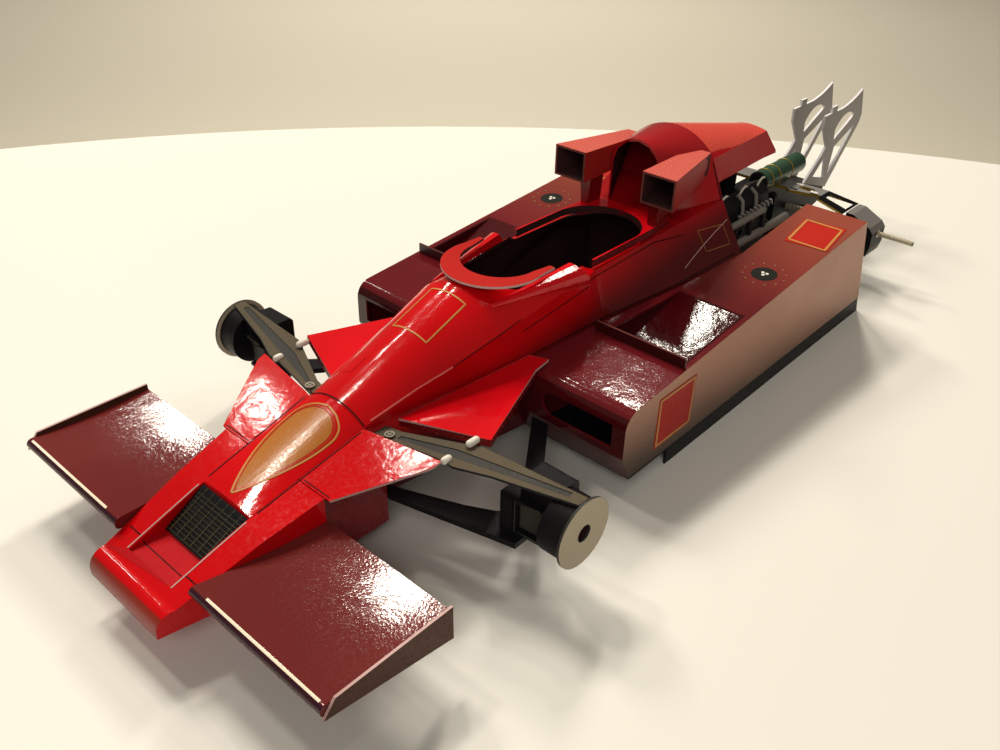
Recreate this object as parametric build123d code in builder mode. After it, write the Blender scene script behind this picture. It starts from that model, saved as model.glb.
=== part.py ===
"""Unfinished 1:24 card model of an open wheel racing car, without road wheels or rear wing.

Frame: millimetres, +X forward, +Y the car's left, +Z up, z = 0 on the table under the skirts.
Distances along the car are measured from the front hub axis, forward positive, and along()
turns them into frame x.
"""
import math
import os

from build123d import *

# ---- card stock and fits ------------------------------------------------------------------
CARD = 0.35                 # one glued layer of printed card
GLUE = 0.06                 # gap left for the glue line between two pieces
LAMINATED = 0.5             # doubled card of the wing posts

# ---- stations, from the front hub axis ----------------------------------------------------
NOSE_TIP = 42.4
NOSE_BOX_FRONT = 19.6       # where the shovel nose meets the chassis box
NOSE_SEAM = 9.0             # where nose and tub meet
CONE_END = -14.2            # front of the windscreen lip
COCKPIT_FRONT = -17.6
RIM_START = -34.2           # front of the raised cockpit surround
RIM_REAR = -55.0            # rear of the cockpit opening
HOOP_FRONT = -57.6
COVER_SEAM = -68.5          # tub ends and the rear cover starts
POD_FRONT = -18.7
POD_REAR_TOP = -92.6
POD_REAR_FOOT = -98.8
REAR_AXLE = -113.3          # wheelbase
POST_REAR = -142.4

# ---- heights ------------------------------------------------------------------------------
FLOOR_TOP = 3.2             # upper face of the flat floor, from which the skirts hang
HUB_HEIGHT = 11.0
DECK_LOW_X, DECK_LOW_Z = 40.0, 7.9
DECK_MID_X, DECK_MID_Z = 28.0, 11.7     # the nose deck bends to a gentler slope here
DECK_HIGH_X, DECK_HIGH_Z = 8.0, 16.6
POD_LIP_Z = 15.1            # pod roof just behind its rounded front
POD_RISE = 0.0817           # rise of the pod roof for each mm back
POD_ROUND = 2.6

# ---- widths, from the centre plane --------------------------------------------------------
POD_HALF = 28.4
HUB_FACE = 35.9
NOSE_TIP_HALF = 7.5
NOSE_LOW_HALF = 7.9         # at DECK_LOW_X
NOSE_WALL_HALF = 10.6       # nose side at its rear
DECK_HALF = 11.3
DECK_TIP_HALF = 18.4
CHASSIS_BOX_HALF = 9.8

ORIGIN_AHEAD = -(NOSE_TIP + POST_REAR) / 2   # front hub axis ahead of the middle of the length


def along(distance):
    """Frame x of a point a distance ahead of the front hub axis."""
    return ORIGIN_AHEAD + distance


def stations(points):
    """Points given as (distance, other) in frame coordinates."""
    return [(along(distance), other) for distance, other in points]


def cross_plane(distance):
    """Plane across the car, local x to the left and local y up, normal forward."""
    return Plane(origin=(along(distance), 0, 0), x_dir=(0, 1, 0), z_dir=(1, 0, 0))


def side_plane(half):
    """Upright lengthwise plane at y = half, local x forward and local y up, normal to the right."""
    return Plane(origin=(0, half, 0), x_dir=(1, 0, 0), z_dir=(0, -1, 0))


def between(distance, start, end):
    """Value at a station on the straight line through two (distance, value) points."""
    share = (distance - start[0]) / (end[0] - start[0])
    return start[1] + share * (end[1] - start[1])


def deck_z(distance):
    """Height of the nose deck at a station."""
    if distance > DECK_MID_X:
        return between(distance, (DECK_LOW_X, DECK_LOW_Z), (DECK_MID_X, DECK_MID_Z))
    return between(distance, (DECK_MID_X, DECK_MID_Z), (DECK_HIGH_X, DECK_HIGH_Z))


def pod_roof_z(distance):
    """Height of the pod roof at a station."""
    return POD_LIP_Z + POD_RISE * (POD_FRONT - POD_ROUND - distance)


def flat_prism(plane, outline, depth):
    """A polygon drawn on a plane and raised by a depth."""
    with BuildPart() as prism:
        with BuildSketch(plane):
            with BuildLine():
                Polyline(*outline, close=True)
            make_face()
        extrude(amount=depth)
    return prism.part


def ruled_body(sections):
    """A straight-sided loft through (distance, outline) sections across the car."""
    with BuildPart() as body:
        for distance, outline in sections:
            with BuildSketch(cross_plane(distance)):
                with BuildLine():
                    Polyline(*outline, close=True)
                make_face()
        loft(ruled=True)
    return body.part


def save(part, name):
    """Label a finished piece and write it as a node."""
    part.label = name
    export_step(part, f"parts/{name}.step")
    print(f"{name:24s} solids {len(part.solids())}  volume {part.volume:9.2f}")


def save_pair(part, name):
    """A left piece and its mirror image as two nodes."""
    save(part, name + "_left")
    save(mirror(part, about=Plane.XZ), name + "_right")


def save_both(part, name):
    """A left piece and its mirror image, which do not touch, as one node."""
    with BuildPart() as both:
        add(part)
        add(mirror(part, about=Plane.XZ))
    save(both.part, name)


os.makedirs("parts", exist_ok=True)

# ---- shovel nose: rounded lip, tapering sides and a sunk duct --------------------------------
NOSE_LIP_X = NOSE_TIP - 2.6
NOSE_FOOT_FRONT_Z = 5.0
NOSE_FOOT_REAR_Z = 3.3
NOSE_REAR = NOSE_BOX_FRONT + GLUE
DUCT_FRONT, DUCT_FRONT_HALF = 38.4, 4.6
DUCT_REAR, DUCT_REAR_HALF = 27.0, 5.0
DUCT_FLOOR_Z = 8.05
GRILLE_FOOT = 33.4


def nose_block(inset):
    """The nose as side profile and plan outline, each drawn in by inset."""
    front = along(NOSE_TIP - inset)
    low_front = (front, NOSE_FOOT_FRONT_Z + inset)
    knee = (front, NOSE_FOOT_FRONT_Z + 0.9)
    lip = (along(NOSE_LIP_X), deck_z(NOSE_LIP_X) - inset)
    middle = (along(DECK_MID_X), DECK_MID_Z - inset)
    rear_top = (along(NOSE_REAR), deck_z(NOSE_REAR) - inset)
    rear_low = (along(NOSE_REAR), NOSE_FOOT_REAR_Z + inset)
    half_rows = [(NOSE_TIP + 1, NOSE_TIP_HALF - inset), (DECK_LOW_X, NOSE_LOW_HALF - inset),
                 (NOSE_REAR - 1, NOSE_WALL_HALF - inset)]
    with BuildPart() as block:
        with BuildSketch(side_plane(DECK_TIP_HALF)):
            with BuildLine():
                Line(low_front, knee)
                TangentArc(knee, lip, tangent=(0, 1))
                Polyline(lip, middle, rear_top, rear_low, low_front)
            make_face()
        extrude(amount=2 * DECK_TIP_HALF)
        with BuildSketch(Plane.XY):
            with BuildLine():
                Polyline(*stations(half_rows + [(row[0], -row[1]) for row in reversed(half_rows)]),
                         close=True)
            make_face()
        extrude(amount=DECK_HIGH_Z, mode=Mode.INTERSECT)
    return block.part


def duct_wedge(grow):
    """The wedge that the nose duct opens under the deck, grown by a wall."""
    side = [(DUCT_FRONT + grow, DUCT_FLOOR_Z - grow), (GRILLE_FOOT, DUCT_FLOOR_Z - grow),
            (DUCT_REAR - grow, deck_z(DUCT_REAR) - CARD - grow),
            (DUCT_REAR - grow, DECK_HIGH_Z), (DUCT_FRONT + grow, DECK_HIGH_Z)]
    plan = [(DUCT_FRONT + grow, DUCT_FRONT_HALF + grow), (DUCT_REAR - grow, DUCT_REAR_HALF + grow),
            (DUCT_REAR - grow, -DUCT_REAR_HALF - grow), (DUCT_FRONT + grow, -DUCT_FRONT_HALF - grow)]
    return (flat_prism(side_plane(DECK_TIP_HALF), stations(side), 2 * DECK_TIP_HALF)
            & flat_prism(Plane.XY, stations(plan), DECK_HIGH_Z + 1))


nose_outer = nose_block(0)
nose_void = nose_block(CARD)
duct_liner = duct_wedge(CARD) & nose_outer
nose_rear_hole = flat_prism(cross_plane(NOSE_REAR + 2 * CARD),
                            [(8.8, 5), (8.8, 12), (-8.8, 12), (-8.8, 5)], -4 * CARD)

with BuildPart() as nose_shell:
    add(nose_outer)
    add(nose_void, mode=Mode.SUBTRACT)
    add(duct_liner)
    add(duct_wedge(0), mode=Mode.SUBTRACT)
    add(nose_rear_hole, mode=Mode.SUBTRACT)
save(nose_shell.part, "nose_shell")

# Radiator grille: a ribbed plate on the sloping back of the duct.
GRILLE_RIBS = 10
grille_run = DUCT_REAR - GRILLE_FOOT
grille_rise = deck_z(DUCT_REAR) - CARD - DUCT_FLOOR_Z
grille_length = (grille_run ** 2 + grille_rise ** 2) ** 0.5
grille_plane = Plane(origin=(along(GRILLE_FOOT), 0, DUCT_FLOOR_Z),
                     x_dir=(grille_run, 0, grille_rise), z_dir=(grille_rise, 0, -grille_run))
GRILLE_PLATE = 0.2
GRILLE_RIB = 0.14
with BuildPart() as nose_grille:
    with BuildSketch(grille_plane.offset(GLUE)):
        with BuildLine():
            Polyline((2 * GLUE, 4.7), (grille_length - GLUE, 4.9), (grille_length - GLUE, -4.9),
                     (2 * GLUE, -4.7), close=True)
        make_face()
    extrude(amount=GRILLE_PLATE)
    with BuildSketch(grille_plane.offset(GLUE + GRILLE_PLATE)):
        with Locations((grille_length / 2, 0)):
            with GridLocations(grille_length / (GRILLE_RIBS + 1), 0, GRILLE_RIBS, 1):
                Rectangle(GRILLE_RIB, 9.2)
    extrude(amount=GRILLE_RIB)
save(nose_grille.part, "nose_grille")

# Shoulder deck that flares out over the chassis box to the suspension arms.
DECK_FRONT = NOSE_REAR - 2 * GLUE
deck_slope = Plane(origin=(along(DECK_FRONT), 0, deck_z(DECK_FRONT)),
                   x_dir=(DECK_HIGH_X - DECK_FRONT, 0, DECK_HIGH_Z - deck_z(DECK_FRONT)),
                   z_dir=(DECK_HIGH_Z - deck_z(DECK_FRONT), 0, DECK_FRONT - DECK_HIGH_X))
deck_stretch = (1 + (deck_z(DECK_FRONT - 1) - deck_z(DECK_FRONT)) ** 2) ** 0.5
deck_rows = [(DECK_FRONT, DECK_HALF), (13.9, 14.9), (8.6, 18.2), (7.2, DECK_TIP_HALF),
             (8.9, 6.6), (NOSE_SEAM + 2 * GLUE, 5.6)]
with BuildPart() as nose_deck:
    with BuildSketch(deck_slope):
        with BuildLine():
            edge = [((DECK_FRONT - row[0]) * deck_stretch, row[1]) for row in deck_rows]
            Polyline(*(edge + [(p[0], -p[1]) for p in reversed(edge)]), close=True)
        make_face()
    extrude(amount=-CARD)
save(nose_deck.part, "nose_deck")

# Raised centre of the nose, growing from the duct's rear edge to the tub seam.
SPINE_FRONT_HALF = 5.0
SPINE_REAR_HALF = 5.55
SPINE_CROWN = 1.7
with BuildPart() as nose_spine:
    for distance, half, rise in ((DUCT_REAR - 0.1, SPINE_FRONT_HALF, 0.25),
                                 (NOSE_SEAM + GLUE, SPINE_REAR_HALF, SPINE_CROWN)):
        base = deck_z(distance) + GLUE
        with BuildSketch(cross_plane(distance)):
            with BuildLine():
                ThreePointArc((half, base), (0, base + rise), (-half, base))
                Line((-half, base), (half, base))
            make_face()
    loft(ruled=True)
save(nose_spine.part, "nose_spine")

# Chassis box under the deck.
box_front = NOSE_BOX_FRONT - GLUE
box_rear = NOSE_SEAM + GLUE
box_side = [(box_front, FLOOR_TOP - 0.2), (box_front, deck_z(box_front) - CARD - GLUE * 2),
            (box_rear, deck_z(box_rear) - CARD - GLUE * 2), (box_rear, FLOOR_TOP - 0.2)]
box_void = [(box_front - CARD, FLOOR_TOP - 0.2 + CARD), (box_front - CARD, DECK_HIGH_Z + 2),
            (box_rear + CARD, DECK_HIGH_Z + 2), (box_rear + CARD, FLOOR_TOP - 0.2 + CARD)]
with BuildPart() as chassis_box:
    add(flat_prism(side_plane(CHASSIS_BOX_HALF), stations(box_side), 2 * CHASSIS_BOX_HALF))
    add(flat_prism(side_plane(CHASSIS_BOX_HALF - CARD), stations(box_void),
                   2 * (CHASSIS_BOX_HALF - CARD)), mode=Mode.SUBTRACT)
save(chassis_box.part, "chassis_box")

# ---- front wings and end plates --------------------------------------------------------------
WING_LEAD = 38.0            # foremost point of the leading edge
WING_TRAIL = 19.5
WING_TRAIL_Z = 10.1
WING_LEAD_Z = 9.55
WING_LEAD_RADIUS = 0.85
WING_TIP = 32.1
WING_DIP = 0.45             # hollow of the upper face
WING_ROOT_GAP = 0.11

lead_x = along(WING_LEAD - WING_LEAD_RADIUS)
wing_upper = (lead_x, WING_LEAD_Z + WING_LEAD_RADIUS)
wing_lower = (lead_x, WING_LEAD_Z - WING_LEAD_RADIUS)
wing_nose = (along(WING_LEAD), WING_LEAD_Z)
trail_upper = (along(WING_TRAIL), WING_TRAIL_Z)
trail_lower = (along(WING_TRAIL), WING_TRAIL_Z - CARD)
wing_middle = ((lead_x + trail_upper[0]) / 2,
               (wing_upper[1] + trail_upper[1]) / 2 - WING_DIP)
nose_wall = ((DECK_LOW_X, NOSE_LOW_HALF), (NOSE_REAR - 1, NOSE_WALL_HALF))
root_front = between(WING_LEAD + 1, *nose_wall) + WING_ROOT_GAP
root_rear = between(WING_TRAIL - 1, *nose_wall) + WING_ROOT_GAP
with BuildPart() as front_wing:
    with BuildSketch(side_plane(WING_TIP)):
        with BuildLine():
            ThreePointArc(wing_lower, wing_nose, wing_upper)
            ThreePointArc(wing_upper, wing_middle, trail_upper)
            Line(trail_upper, trail_lower)
            Line(trail_lower, wing_lower)
        make_face()
    extrude(amount=WING_TIP)
    with BuildSketch(Plane.XY):
        with BuildLine():
            Polyline(*stations([(WING_LEAD + 1, root_front), (WING_TRAIL - 1, root_rear),
                                (WING_TRAIL - 1, WING_TIP), (WING_LEAD + 1, WING_TIP)]), close=True)
        make_face()
    extrude(amount=DECK_HIGH_Z, mode=Mode.INTERSECT)
save_pair(front_wing.part, "front_wing")

END_PLATE_LOW = 5.7
END_PLATE_TOP = WING_TRAIL_Z + 0.7
end_plate = flat_prism(side_plane(WING_TIP + GLUE + CARD), stations(
    [(WING_TRAIL - 0.15, END_PLATE_LOW), (WING_TRAIL - 0.1, END_PLATE_TOP),
     (WING_LEAD - 1.8, END_PLATE_TOP), (WING_LEAD - 0.1, WING_LEAD_Z - WING_LEAD_RADIUS)]), CARD)
save_both(end_plate, "wing_end_plates")

# ---- tub: a folded card hull, arched in front and open over the cockpit ----------------------
# rows: station, half width below, half width and height at the fold, half width and height at
# the shoulder, height of the crown over the shoulder
RIM_SHOULDER_Z = 24.3
RIM_CROWN = 0.3
TUB_ROWS = [
    (NOSE_SEAM - GLUE, 5.0, 5.2, 10.5, 5.55, 16.3, 1.75),
    (CONE_END, 7.9, 7.9, 14.5, 8.4, 21.8, 5.0),
    (RIM_START, 10.6, 10.6, 16.4, 9.0, RIM_SHOULDER_Z, 3.4),
    (RIM_START - 2, 10.9, 10.9, 16.6, 8.6, RIM_SHOULDER_Z, RIM_CROWN),
    (-52.0, 14.3, 14.3, 17.9, 8.2, RIM_SHOULDER_Z, RIM_CROWN),
    (COVER_SEAM + GLUE, 16.6, 16.6, 18.8, 11.4, 27.4, RIM_CROWN),
]


CROWN_FACETS = 6


def crown(edge, top_z, wall):
    """Arch over a section from its left edge to the right one: an arc, or folded facets inside."""
    half, edge_z = edge
    if wall <= 0:
        ThreePointArc(edge, (0, top_z), (-half, edge_z))
        return
    rise = top_z - edge_z
    radius = (half ** 2 + rise ** 2) / (2 * rise)
    reach = math.atan2(half, radius - rise)
    turns = [reach * (1 - 2 * step / CROWN_FACETS) for step in range(CROWN_FACETS + 1)]
    Polyline(*[(radius * math.sin(turn), top_z - radius + radius * math.cos(turn)) for turn in turns])


def tub_body(wall):
    """Loft through the tub's sections, each drawn in by a wall."""
    with BuildPart() as body:
        for row, (distance, low_half, fold_half, fold_z, top_half, top_z, rise) in enumerate(TUB_ROWS):
            shift = {0: -wall, len(TUB_ROWS) - 1: wall}.get(row, 0)
            low = (low_half - wall, FLOOR_TOP + wall)
            fold = (fold_half - wall, fold_z)
            top = (top_half - wall, top_z - wall / 2)
            with BuildSketch(cross_plane(distance + shift)):
                with BuildLine():
                    Polyline((-top[0], top[1]), (-fold[0], fold[1]), (-low[0], low[1]), low, fold, top)
                    crown(top, top_z + rise - wall, wall)
                make_face()
        loft(ruled=True)
    return body.part


COCKPIT_HALF_FRONT = 6.2
COCKPIT_HALF = 7.8
COCKPIT_ARC_FRONT = -24.0
COCKPIT_ARC_REAR = -48.0


def cockpit_outline(grow):
    """Plan outline of the cockpit opening, grown by an edge."""
    front_half = COCKPIT_HALF_FRONT + grow
    half = COCKPIT_HALF + grow
    turn = (along(COCKPIT_ARC_FRONT), front_half)
    wide = (along(RIM_START - 2), half)
    rear = (along(COCKPIT_ARC_REAR), half)
    ThreePointArc((turn[0], -turn[1]), (along(COCKPIT_FRONT) + grow, 0), turn)
    Polyline(turn, wide, rear)
    ThreePointArc(rear, (along(RIM_REAR) - grow, 0), (rear[0], -rear[1]))
    Polyline((rear[0], -rear[1]), (wide[0], -wide[1]), (turn[0], -turn[1]))


tub_outer = tub_body(0)
tub_void = tub_body(CARD)
tub_clear = tub_body(-GLUE)     # what the pieces on the tub stay out of
with BuildPart() as tub:
    add(tub_outer)
    add(tub_void, mode=Mode.SUBTRACT)
    with BuildSketch(Plane.XY.offset(18)):
        with BuildLine():
            cockpit_outline(0)
        make_face()
    extrude(amount=14, mode=Mode.SUBTRACT)
save(tub.part, "tub")

# Raised surround and rear deck of the cockpit, standing on the tub's top.
SURROUND_TOP = 25.9
SURROUND_HALF = 8.15
SURROUND_FOOT = RIM_SHOULDER_Z + RIM_CROWN + GLUE
SURROUND_REAR = HOOP_FRONT + 2 * GLUE
with BuildPart() as cockpit_surround:
    with BuildSketch(Plane.XY.offset(SURROUND_FOOT)):
        with BuildLine():
            Polyline(*stations([(RIM_START - 2, SURROUND_HALF), (SURROUND_REAR, SURROUND_HALF - 0.3),
                                (SURROUND_REAR, 0.3 - SURROUND_HALF),
                                (RIM_START - 2, -SURROUND_HALF)]), close=True)
        make_face()
    extrude(amount=SURROUND_TOP - SURROUND_FOOT)
    with BuildSketch(Plane.XY.offset(SURROUND_FOOT)):
        with BuildLine():
            cockpit_outline(0)
        make_face()
    extrude(amount=3, mode=Mode.SUBTRACT)
    add(tub_clear, mode=Mode.SUBTRACT)
save(cockpit_surround.part, "cockpit_surround")

# Windscreen lip: a flat horseshoe over the front of the cockpit.
LIP_Z = 27.35
LIP_REAR = -27.2
LIP_END_INNER = 6.75
LIP_WIDTH = 1.55
LIP_END_WIDTH = 0.9
with BuildPart() as windscreen_lip:
    with BuildSketch(Plane.XY.offset(LIP_Z)):
        with BuildLine():
            inner = (along(COCKPIT_ARC_FRONT), COCKPIT_HALF_FRONT)
            inner_end = (along(LIP_REAR), LIP_END_INNER)
            outer_end = (along(LIP_REAR), LIP_END_INNER + LIP_END_WIDTH)
            outer = (along(COCKPIT_ARC_FRONT), COCKPIT_HALF_FRONT + LIP_WIDTH)
            ThreePointArc((inner[0], -inner[1]), (along(COCKPIT_FRONT), 0), inner)
            Polyline(inner, inner_end, outer_end, outer)
            ThreePointArc(outer, (along(CONE_END), 0), (outer[0], -outer[1]))
            Polyline((outer[0], -outer[1]), (outer_end[0], -outer_end[1]),
                     (inner_end[0], -inner_end[1]), (inner[0], -inner[1]))
        make_face()
    extrude(amount=CARD)
save(windscreen_lip.part, "windscreen_lip")

# Fairings beside the windscreen: half cones that start as a point on the tub's crown.
FAIRING_TIP, FAIRING_TIP_HALF, FAIRING_TIP_Z = -15.2, 5.6, 25.0
FAIRING_TIP_SIZE = 0.3
FAIRING_REAR = -34.0
FAIRING_FOOT_HALF, FAIRING_FOOT_Z = 9.0, 22.7
FAIRING_BULGE_HALF, FAIRING_BULGE_Z = 10.4, 25.3
FAIRING_TOP_HALF, FAIRING_TOP_Z = 7.5, 27.2
FAIRING_RAKE = 2.9          # how far its rear edge leans forward from foot to top
fairing_rows = [
    (FAIRING_TIP, (FAIRING_TIP_HALF + FAIRING_TIP_SIZE, FAIRING_TIP_Z - FAIRING_TIP_SIZE),
     (FAIRING_TIP_HALF + 1.1 * FAIRING_TIP_SIZE, FAIRING_TIP_Z + 0.3 * FAIRING_TIP_SIZE),
     (FAIRING_TIP_HALF, FAIRING_TIP_Z + FAIRING_TIP_SIZE),
     (FAIRING_TIP_HALF - FAIRING_TIP_SIZE, FAIRING_TIP_Z - FAIRING_TIP_SIZE)),
    (FAIRING_REAR, (FAIRING_FOOT_HALF, FAIRING_FOOT_Z), (FAIRING_BULGE_HALF, FAIRING_BULGE_Z),
     (FAIRING_TOP_HALF, FAIRING_TOP_Z), (FAIRING_FOOT_HALF - 2, FAIRING_FOOT_Z)),
]
FAIRING_FACETS = 6


def folded_arc(start, middle, end, facets):
    """Points of a card folded along the arc through three points."""
    (ax, ay), (bx, by), (cx, cy) = start, middle, end
    turn = 2 * (ax * (by - cy) + bx * (cy - ay) + cx * (ay - by))
    squares = (ax ** 2 + ay ** 2, bx ** 2 + by ** 2, cx ** 2 + cy ** 2)
    centre_x = (squares[0] * (by - cy) + squares[1] * (cy - ay) + squares[2] * (ay - by)) / turn
    centre_y = (squares[0] * (cx - bx) + squares[1] * (ax - cx) + squares[2] * (bx - ax)) / turn
    radius = math.hypot(ax - centre_x, ay - centre_y)
    first = math.atan2(ay - centre_y, ax - centre_x)
    sweep = (math.atan2(cy - centre_y, cx - centre_x) - first) % (2 * math.pi)
    return [(centre_x + radius * math.cos(first + sweep * step / facets),
             centre_y + radius * math.sin(first + sweep * step / facets)) for step in range(facets + 1)]


fairing_rear_cut = flat_prism(side_plane(2 * FAIRING_BULGE_HALF), stations([
    (FAIRING_REAR, FAIRING_FOOT_Z), (FAIRING_REAR + FAIRING_RAKE, FAIRING_TOP_Z),
    (FAIRING_REAR + FAIRING_RAKE, FAIRING_TOP_Z + 1), (FAIRING_REAR - 1, FAIRING_TOP_Z + 1),
    (FAIRING_REAR - 1, FAIRING_FOOT_Z)]), 2 * FAIRING_BULGE_HALF)
with BuildPart() as screen_fairing:
    for distance, foot, bulge, top, inner_foot in fairing_rows:
        with BuildSketch(cross_plane(distance)):
            with BuildLine():
                Polyline(*folded_arc(foot, bulge, top, FAIRING_FACETS), inner_foot, close=True)
            make_face()
    loft(ruled=True)
    add(tub_clear, mode=Mode.SUBTRACT)
    add(fairing_rear_cut, mode=Mode.SUBTRACT)
save_both(screen_fairing.part, "screen_fairings")

# ---- covers, scoops ---------------------------------------------------------------------------
# rows: station, half width and height at the foot, half width and height at the shoulder, crown
HOOP_COVER_ROWS = [
    (HOOP_FRONT, 5.15, 25.6, 5.05, 33.4, 37.9),
    (COVER_SEAM + GLUE, 11.3, 27.5, 8.5, 33.9, 38.0),
]
REAR_COVER_ROWS = [
    (COVER_SEAM - GLUE, 8.55, 28.8, 8.45, 33.9, 38.0),
    (-95.4, 4.45, 26.1, 3.7, 31.1, 31.9),
    (-104.0, 3.1, 24.85, 2.2, 30.2, 30.6),
]


def arched_cover(rows, wall, reach=0.0):
    """Loft of upright sides under a crowned roof, drawn in by a wall, open below when drawn in."""
    with BuildPart() as cover:
        for number, (distance, foot_half, foot_z, top_half, top_z, crown_z) in enumerate(rows):
            shift = {0: reach, len(rows) - 1: -reach}.get(number, 0)
            foot = (foot_half - wall, foot_z - (2 if wall > 0 else -wall))
            top = (top_half - wall, top_z - wall / 2)
            with BuildSketch(cross_plane(distance + shift)):
                with BuildLine():
                    Polyline((-top[0], top[1]), (-foot[0], foot[1]), foot, top)
                    crown(top, crown_z - wall, wall)
                make_face()
        loft(ruled=True)
    return cover.part


hoop_outer = arched_cover(HOOP_COVER_ROWS, 0)
hoop_clear = arched_cover(HOOP_COVER_ROWS, -GLUE, GLUE)
hoop_rear_wall = flat_prism(cross_plane(COVER_SEAM + GLUE), [(-20, 20), (20, 20), (20, 45), (-20, 45)], CARD)
hoop_void = arched_cover(HOOP_COVER_ROWS, CARD) - hoop_rear_wall
with BuildPart() as hoop_cover:
    add(hoop_outer)
    add(hoop_void, mode=Mode.SUBTRACT)
    add(tub_clear, mode=Mode.SUBTRACT)
save(hoop_cover.part, "hoop_cover")

REAR_COVER_TAIL = -103.2
tail_cut = flat_prism(side_plane(20), stations([(-95.3, 32.5), (REAR_COVER_TAIL, 25.4), (REAR_COVER_TAIL, 20),
                                               (-112, 20), (-112, 40), (-95.3, 40)]), 40)
with BuildPart() as rear_cover:
    add(arched_cover(REAR_COVER_ROWS, 0))
    add(arched_cover(REAR_COVER_ROWS, CARD, 0.5), mode=Mode.SUBTRACT)
    add(tail_cut, mode=Mode.SUBTRACT)
save(rear_cover.part, "rear_cover")

SCOOP_FRONT = -51.0
SCOOP_REAR = -67.0
SCOOP_DEPTH = -61.0
SCOOP_INNER, SCOOP_OUTER = 5.8, 12.2
SCOOP_LOW, SCOOP_HIGH = 30.4, 35.7
SCOOP_TAIL_OUTER = 8.6


def scoop_body(wall):
    """Tapering square duct of an air scoop, drawn in by a wall and stopped short inside."""
    mouth = (SCOOP_INNER + wall, SCOOP_OUTER - wall, SCOOP_LOW + wall, SCOOP_HIGH - wall)
    tail = (SCOOP_INNER - 0.8 + wall, SCOOP_TAIL_OUTER - wall,
            SCOOP_LOW + 1.1 + wall, SCOOP_HIGH - 0.3 - wall)
    rows = [(SCOOP_FRONT, mouth), (SCOOP_REAR, tail)]
    if wall:
        share = (SCOOP_DEPTH - SCOOP_FRONT) / (SCOOP_REAR - SCOOP_FRONT)
        rows[1] = (SCOOP_DEPTH, tuple(m + share * (t - m) for m, t in zip(mouth, tail)))
    return ruled_body([(distance, [(box[0], box[2]), (box[1], box[2]), (box[1], box[3]), (box[0], box[3])])
                       for distance, box in rows])


with BuildPart() as air_scoop:
    add(scoop_body(0))
    add(scoop_body(CARD), mode=Mode.SUBTRACT)
    add(hoop_clear, mode=Mode.SUBTRACT)
save_pair(air_scoop.part, "air_scoop")

BRACKET_FRONT, BRACKET_REAR = -53.2, -56.8
scoop_bracket = flat_prism(cross_plane(BRACKET_FRONT), [
    (SCOOP_INNER + 0.5, SURROUND_TOP + GLUE), (SCOOP_INNER + 2, SURROUND_TOP + GLUE),
    (SCOOP_INNER + 2.4, SCOOP_LOW - GLUE), (SCOOP_INNER + 0.2, SCOOP_LOW - GLUE)],
    BRACKET_REAR - BRACKET_FRONT)
save_both(scoop_bracket, "scoop_brackets")

# ---- side pods ---------------------------------------------------------------------------------
POD_INNER_REAR = 16.3
tub_fold_rows = [(row[0], row[2] + 2 * GLUE) for row in TUB_ROWS[1:]]
pod_inner_front = between(POD_FRONT + 1, tub_fold_rows[0], tub_fold_rows[1])
SLOT_INNER, SLOT_OUTER = 13.4, 26.2
SLOT_LOW, SLOT_HIGH = 8.7, 12.7
TRAY_FRONT, TRAY_REAR = -35.0, -51.2
TRAY_OUTER = 27.5
TRAY_DEPTH = 3.2


def tray_inner(distance):
    """Inner edge of the exit tray, alongside the tub."""
    return between(distance, (TRAY_FRONT, 13.2), (TRAY_REAR, 15.4))


def pod_block(wall):
    """Side profile of the pod over its plan, drawn in by a wall and then open below and behind."""
    front = along(POD_FRONT - wall)
    roof_front = POD_FRONT - POD_ROUND
    open_rear = 1 if wall else 0
    rear_top = POD_REAR_TOP - open_rear
    foot_z = FLOOR_TOP - open_rear
    rear_foot_x = between(foot_z, (pod_roof_z(POD_REAR_TOP), POD_REAR_TOP), (0, POD_REAR_FOOT)) - open_rear
    nose_low = (along(POD_FRONT - 1.9 - wall), foot_z)
    nose_bulge = (front, FLOOR_TOP + 4.4)
    nose_top = (front, pod_roof_z(POD_FRONT) - POD_ROUND)
    roof_start = (along(roof_front), pod_roof_z(roof_front) - wall)
    inner = [(POD_FRONT + 1, pod_inner_front + wall)]
    inner += [(row[0], row[1] + wall) for row in tub_fold_rows[1:]]
    inner += [(POD_REAR_FOOT - 3, POD_INNER_REAR + wall)]
    with BuildPart() as block:
        with BuildSketch(side_plane(POD_HALF)):
            with BuildLine():
                Polyline(nose_low, nose_bulge, nose_top)
                TangentArc(nose_top, roof_start, tangent=(0, 1))
                Polyline(roof_start, (along(rear_top), pod_roof_z(rear_top) - wall),
                         (along(rear_foot_x), foot_z), nose_low)
            make_face()
        extrude(amount=POD_HALF)
        with BuildSketch(Plane.XY):
            with BuildLine():
                Polyline(*stations(inner + [(POD_REAR_FOOT - 3, POD_HALF - wall),
                                            (POD_FRONT + 1, POD_HALF - wall)]), close=True)
            make_face()
        extrude(amount=40, mode=Mode.INTERSECT)
    return block.part


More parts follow.
